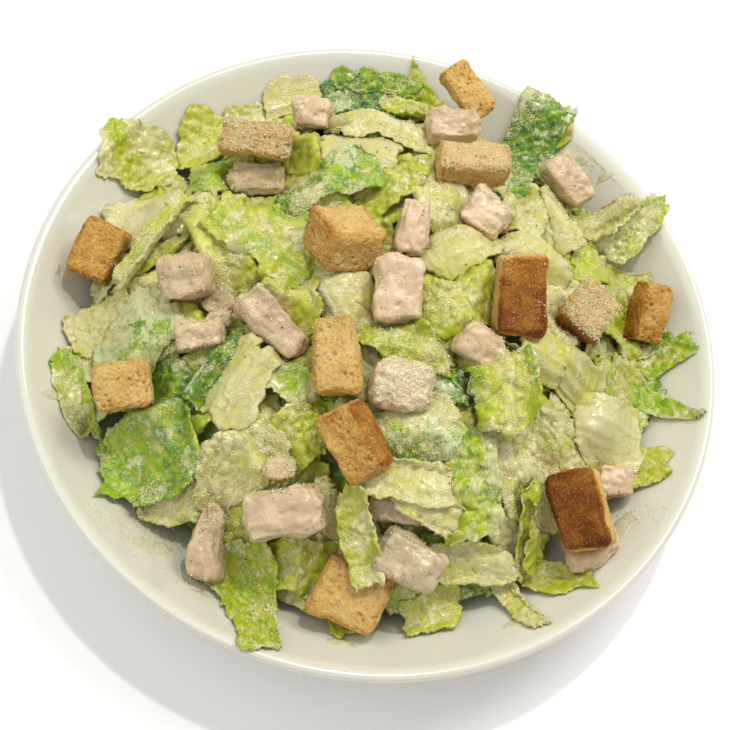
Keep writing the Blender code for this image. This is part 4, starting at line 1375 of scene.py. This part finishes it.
def area_light(name, place, size, power, colour):
    """A round lamp that faces the food."""
    lamp = bpy.data.lights.new(name, "AREA")
    lamp.shape = "DISK"
    lamp.size = size
    lamp.energy = power
    lamp.color = colour
    made = bpy.data.objects.new(name, lamp)
    made.location = place
    heading = LIGHT_AIM - np.array(place)
    made.rotation_euler = Vector(heading).to_track_quat("-Z", "Y").to_euler()
    bpy.context.scene.collection.objects.link(made)


floor_finish = Finish("pale_floor", Roughness=0.9, Specular_IOR_Level=0.1)
cloud = floor_finish.noise(0.4, 1, 0.5)
floor_finish.to(floor_finish.ramp(cloud, (0.3, (0.95,) * 3), (0.7, (0.955,) * 3)), "Base Color")
corners = np.array([[-1, -1, 0], [1, -1, 0], [1, 1, 0], [-1, 1, 0]]) * FLOOR_HALF
floor = put_mesh("pale_floor", corners, np.array([[0, 1, 2, 3]]), floor_finish.material, shade=False)

area_light("window", (0.45, 0.60, 1.15), 0.6, 8.1, (1.0, 0.985, 0.95))
area_light("room", (-0.8, -0.4, 1.2), 1.6, 7.2, (1.0, 0.99, 0.98))
area_light("lamp", (0.05, 0.30, 1.10), 0.05, 4.0, (1.0, 0.98, 0.94))
world = bpy.data.worlds.new("soft_room")
world.use_nodes = True
world.node_tree.nodes["Background"].inputs["Color"].default_value = (1, 1, 0.99, 1)
world.node_tree.nodes["Background"].inputs["Strength"].default_value = 0.52
bpy.context.scene.world = world
bpy.context.scene.view_settings.view_transform = "Standard"

# The camera looks at the target from in front and above, and is turned a little about its own line of sight
TARGET = np.array([0.0, -0.0132, 0.042])
DISTANCE = 0.50
ELEVATION = math.radians(63.2)
TILT = math.radians(16.25)
back = np.array([0, -math.cos(ELEVATION), math.sin(ELEVATION)])
right = np.array([1.0, 0, 0])
over = np.cross(back, right)
turned_right = math.cos(TILT) * right + math.sin(TILT) * over
turned_up = -math.sin(TILT) * right + math.cos(TILT) * over
eye = bpy.data.cameras.new("camera")
eye.lens = 73.2
eye.sensor_width = 36
eye.clip_start = 0.01
camera = bpy.data.objects.new("camera", eye)
place = np.eye(4)
place[:3] = np.stack([turned_right, turned_up, back, TARGET + DISTANCE * back], 1)
camera.matrix_world = Matrix(place.tolist())
bpy.context.scene.collection.objects.link(camera)
bpy.context.scene.camera = camera
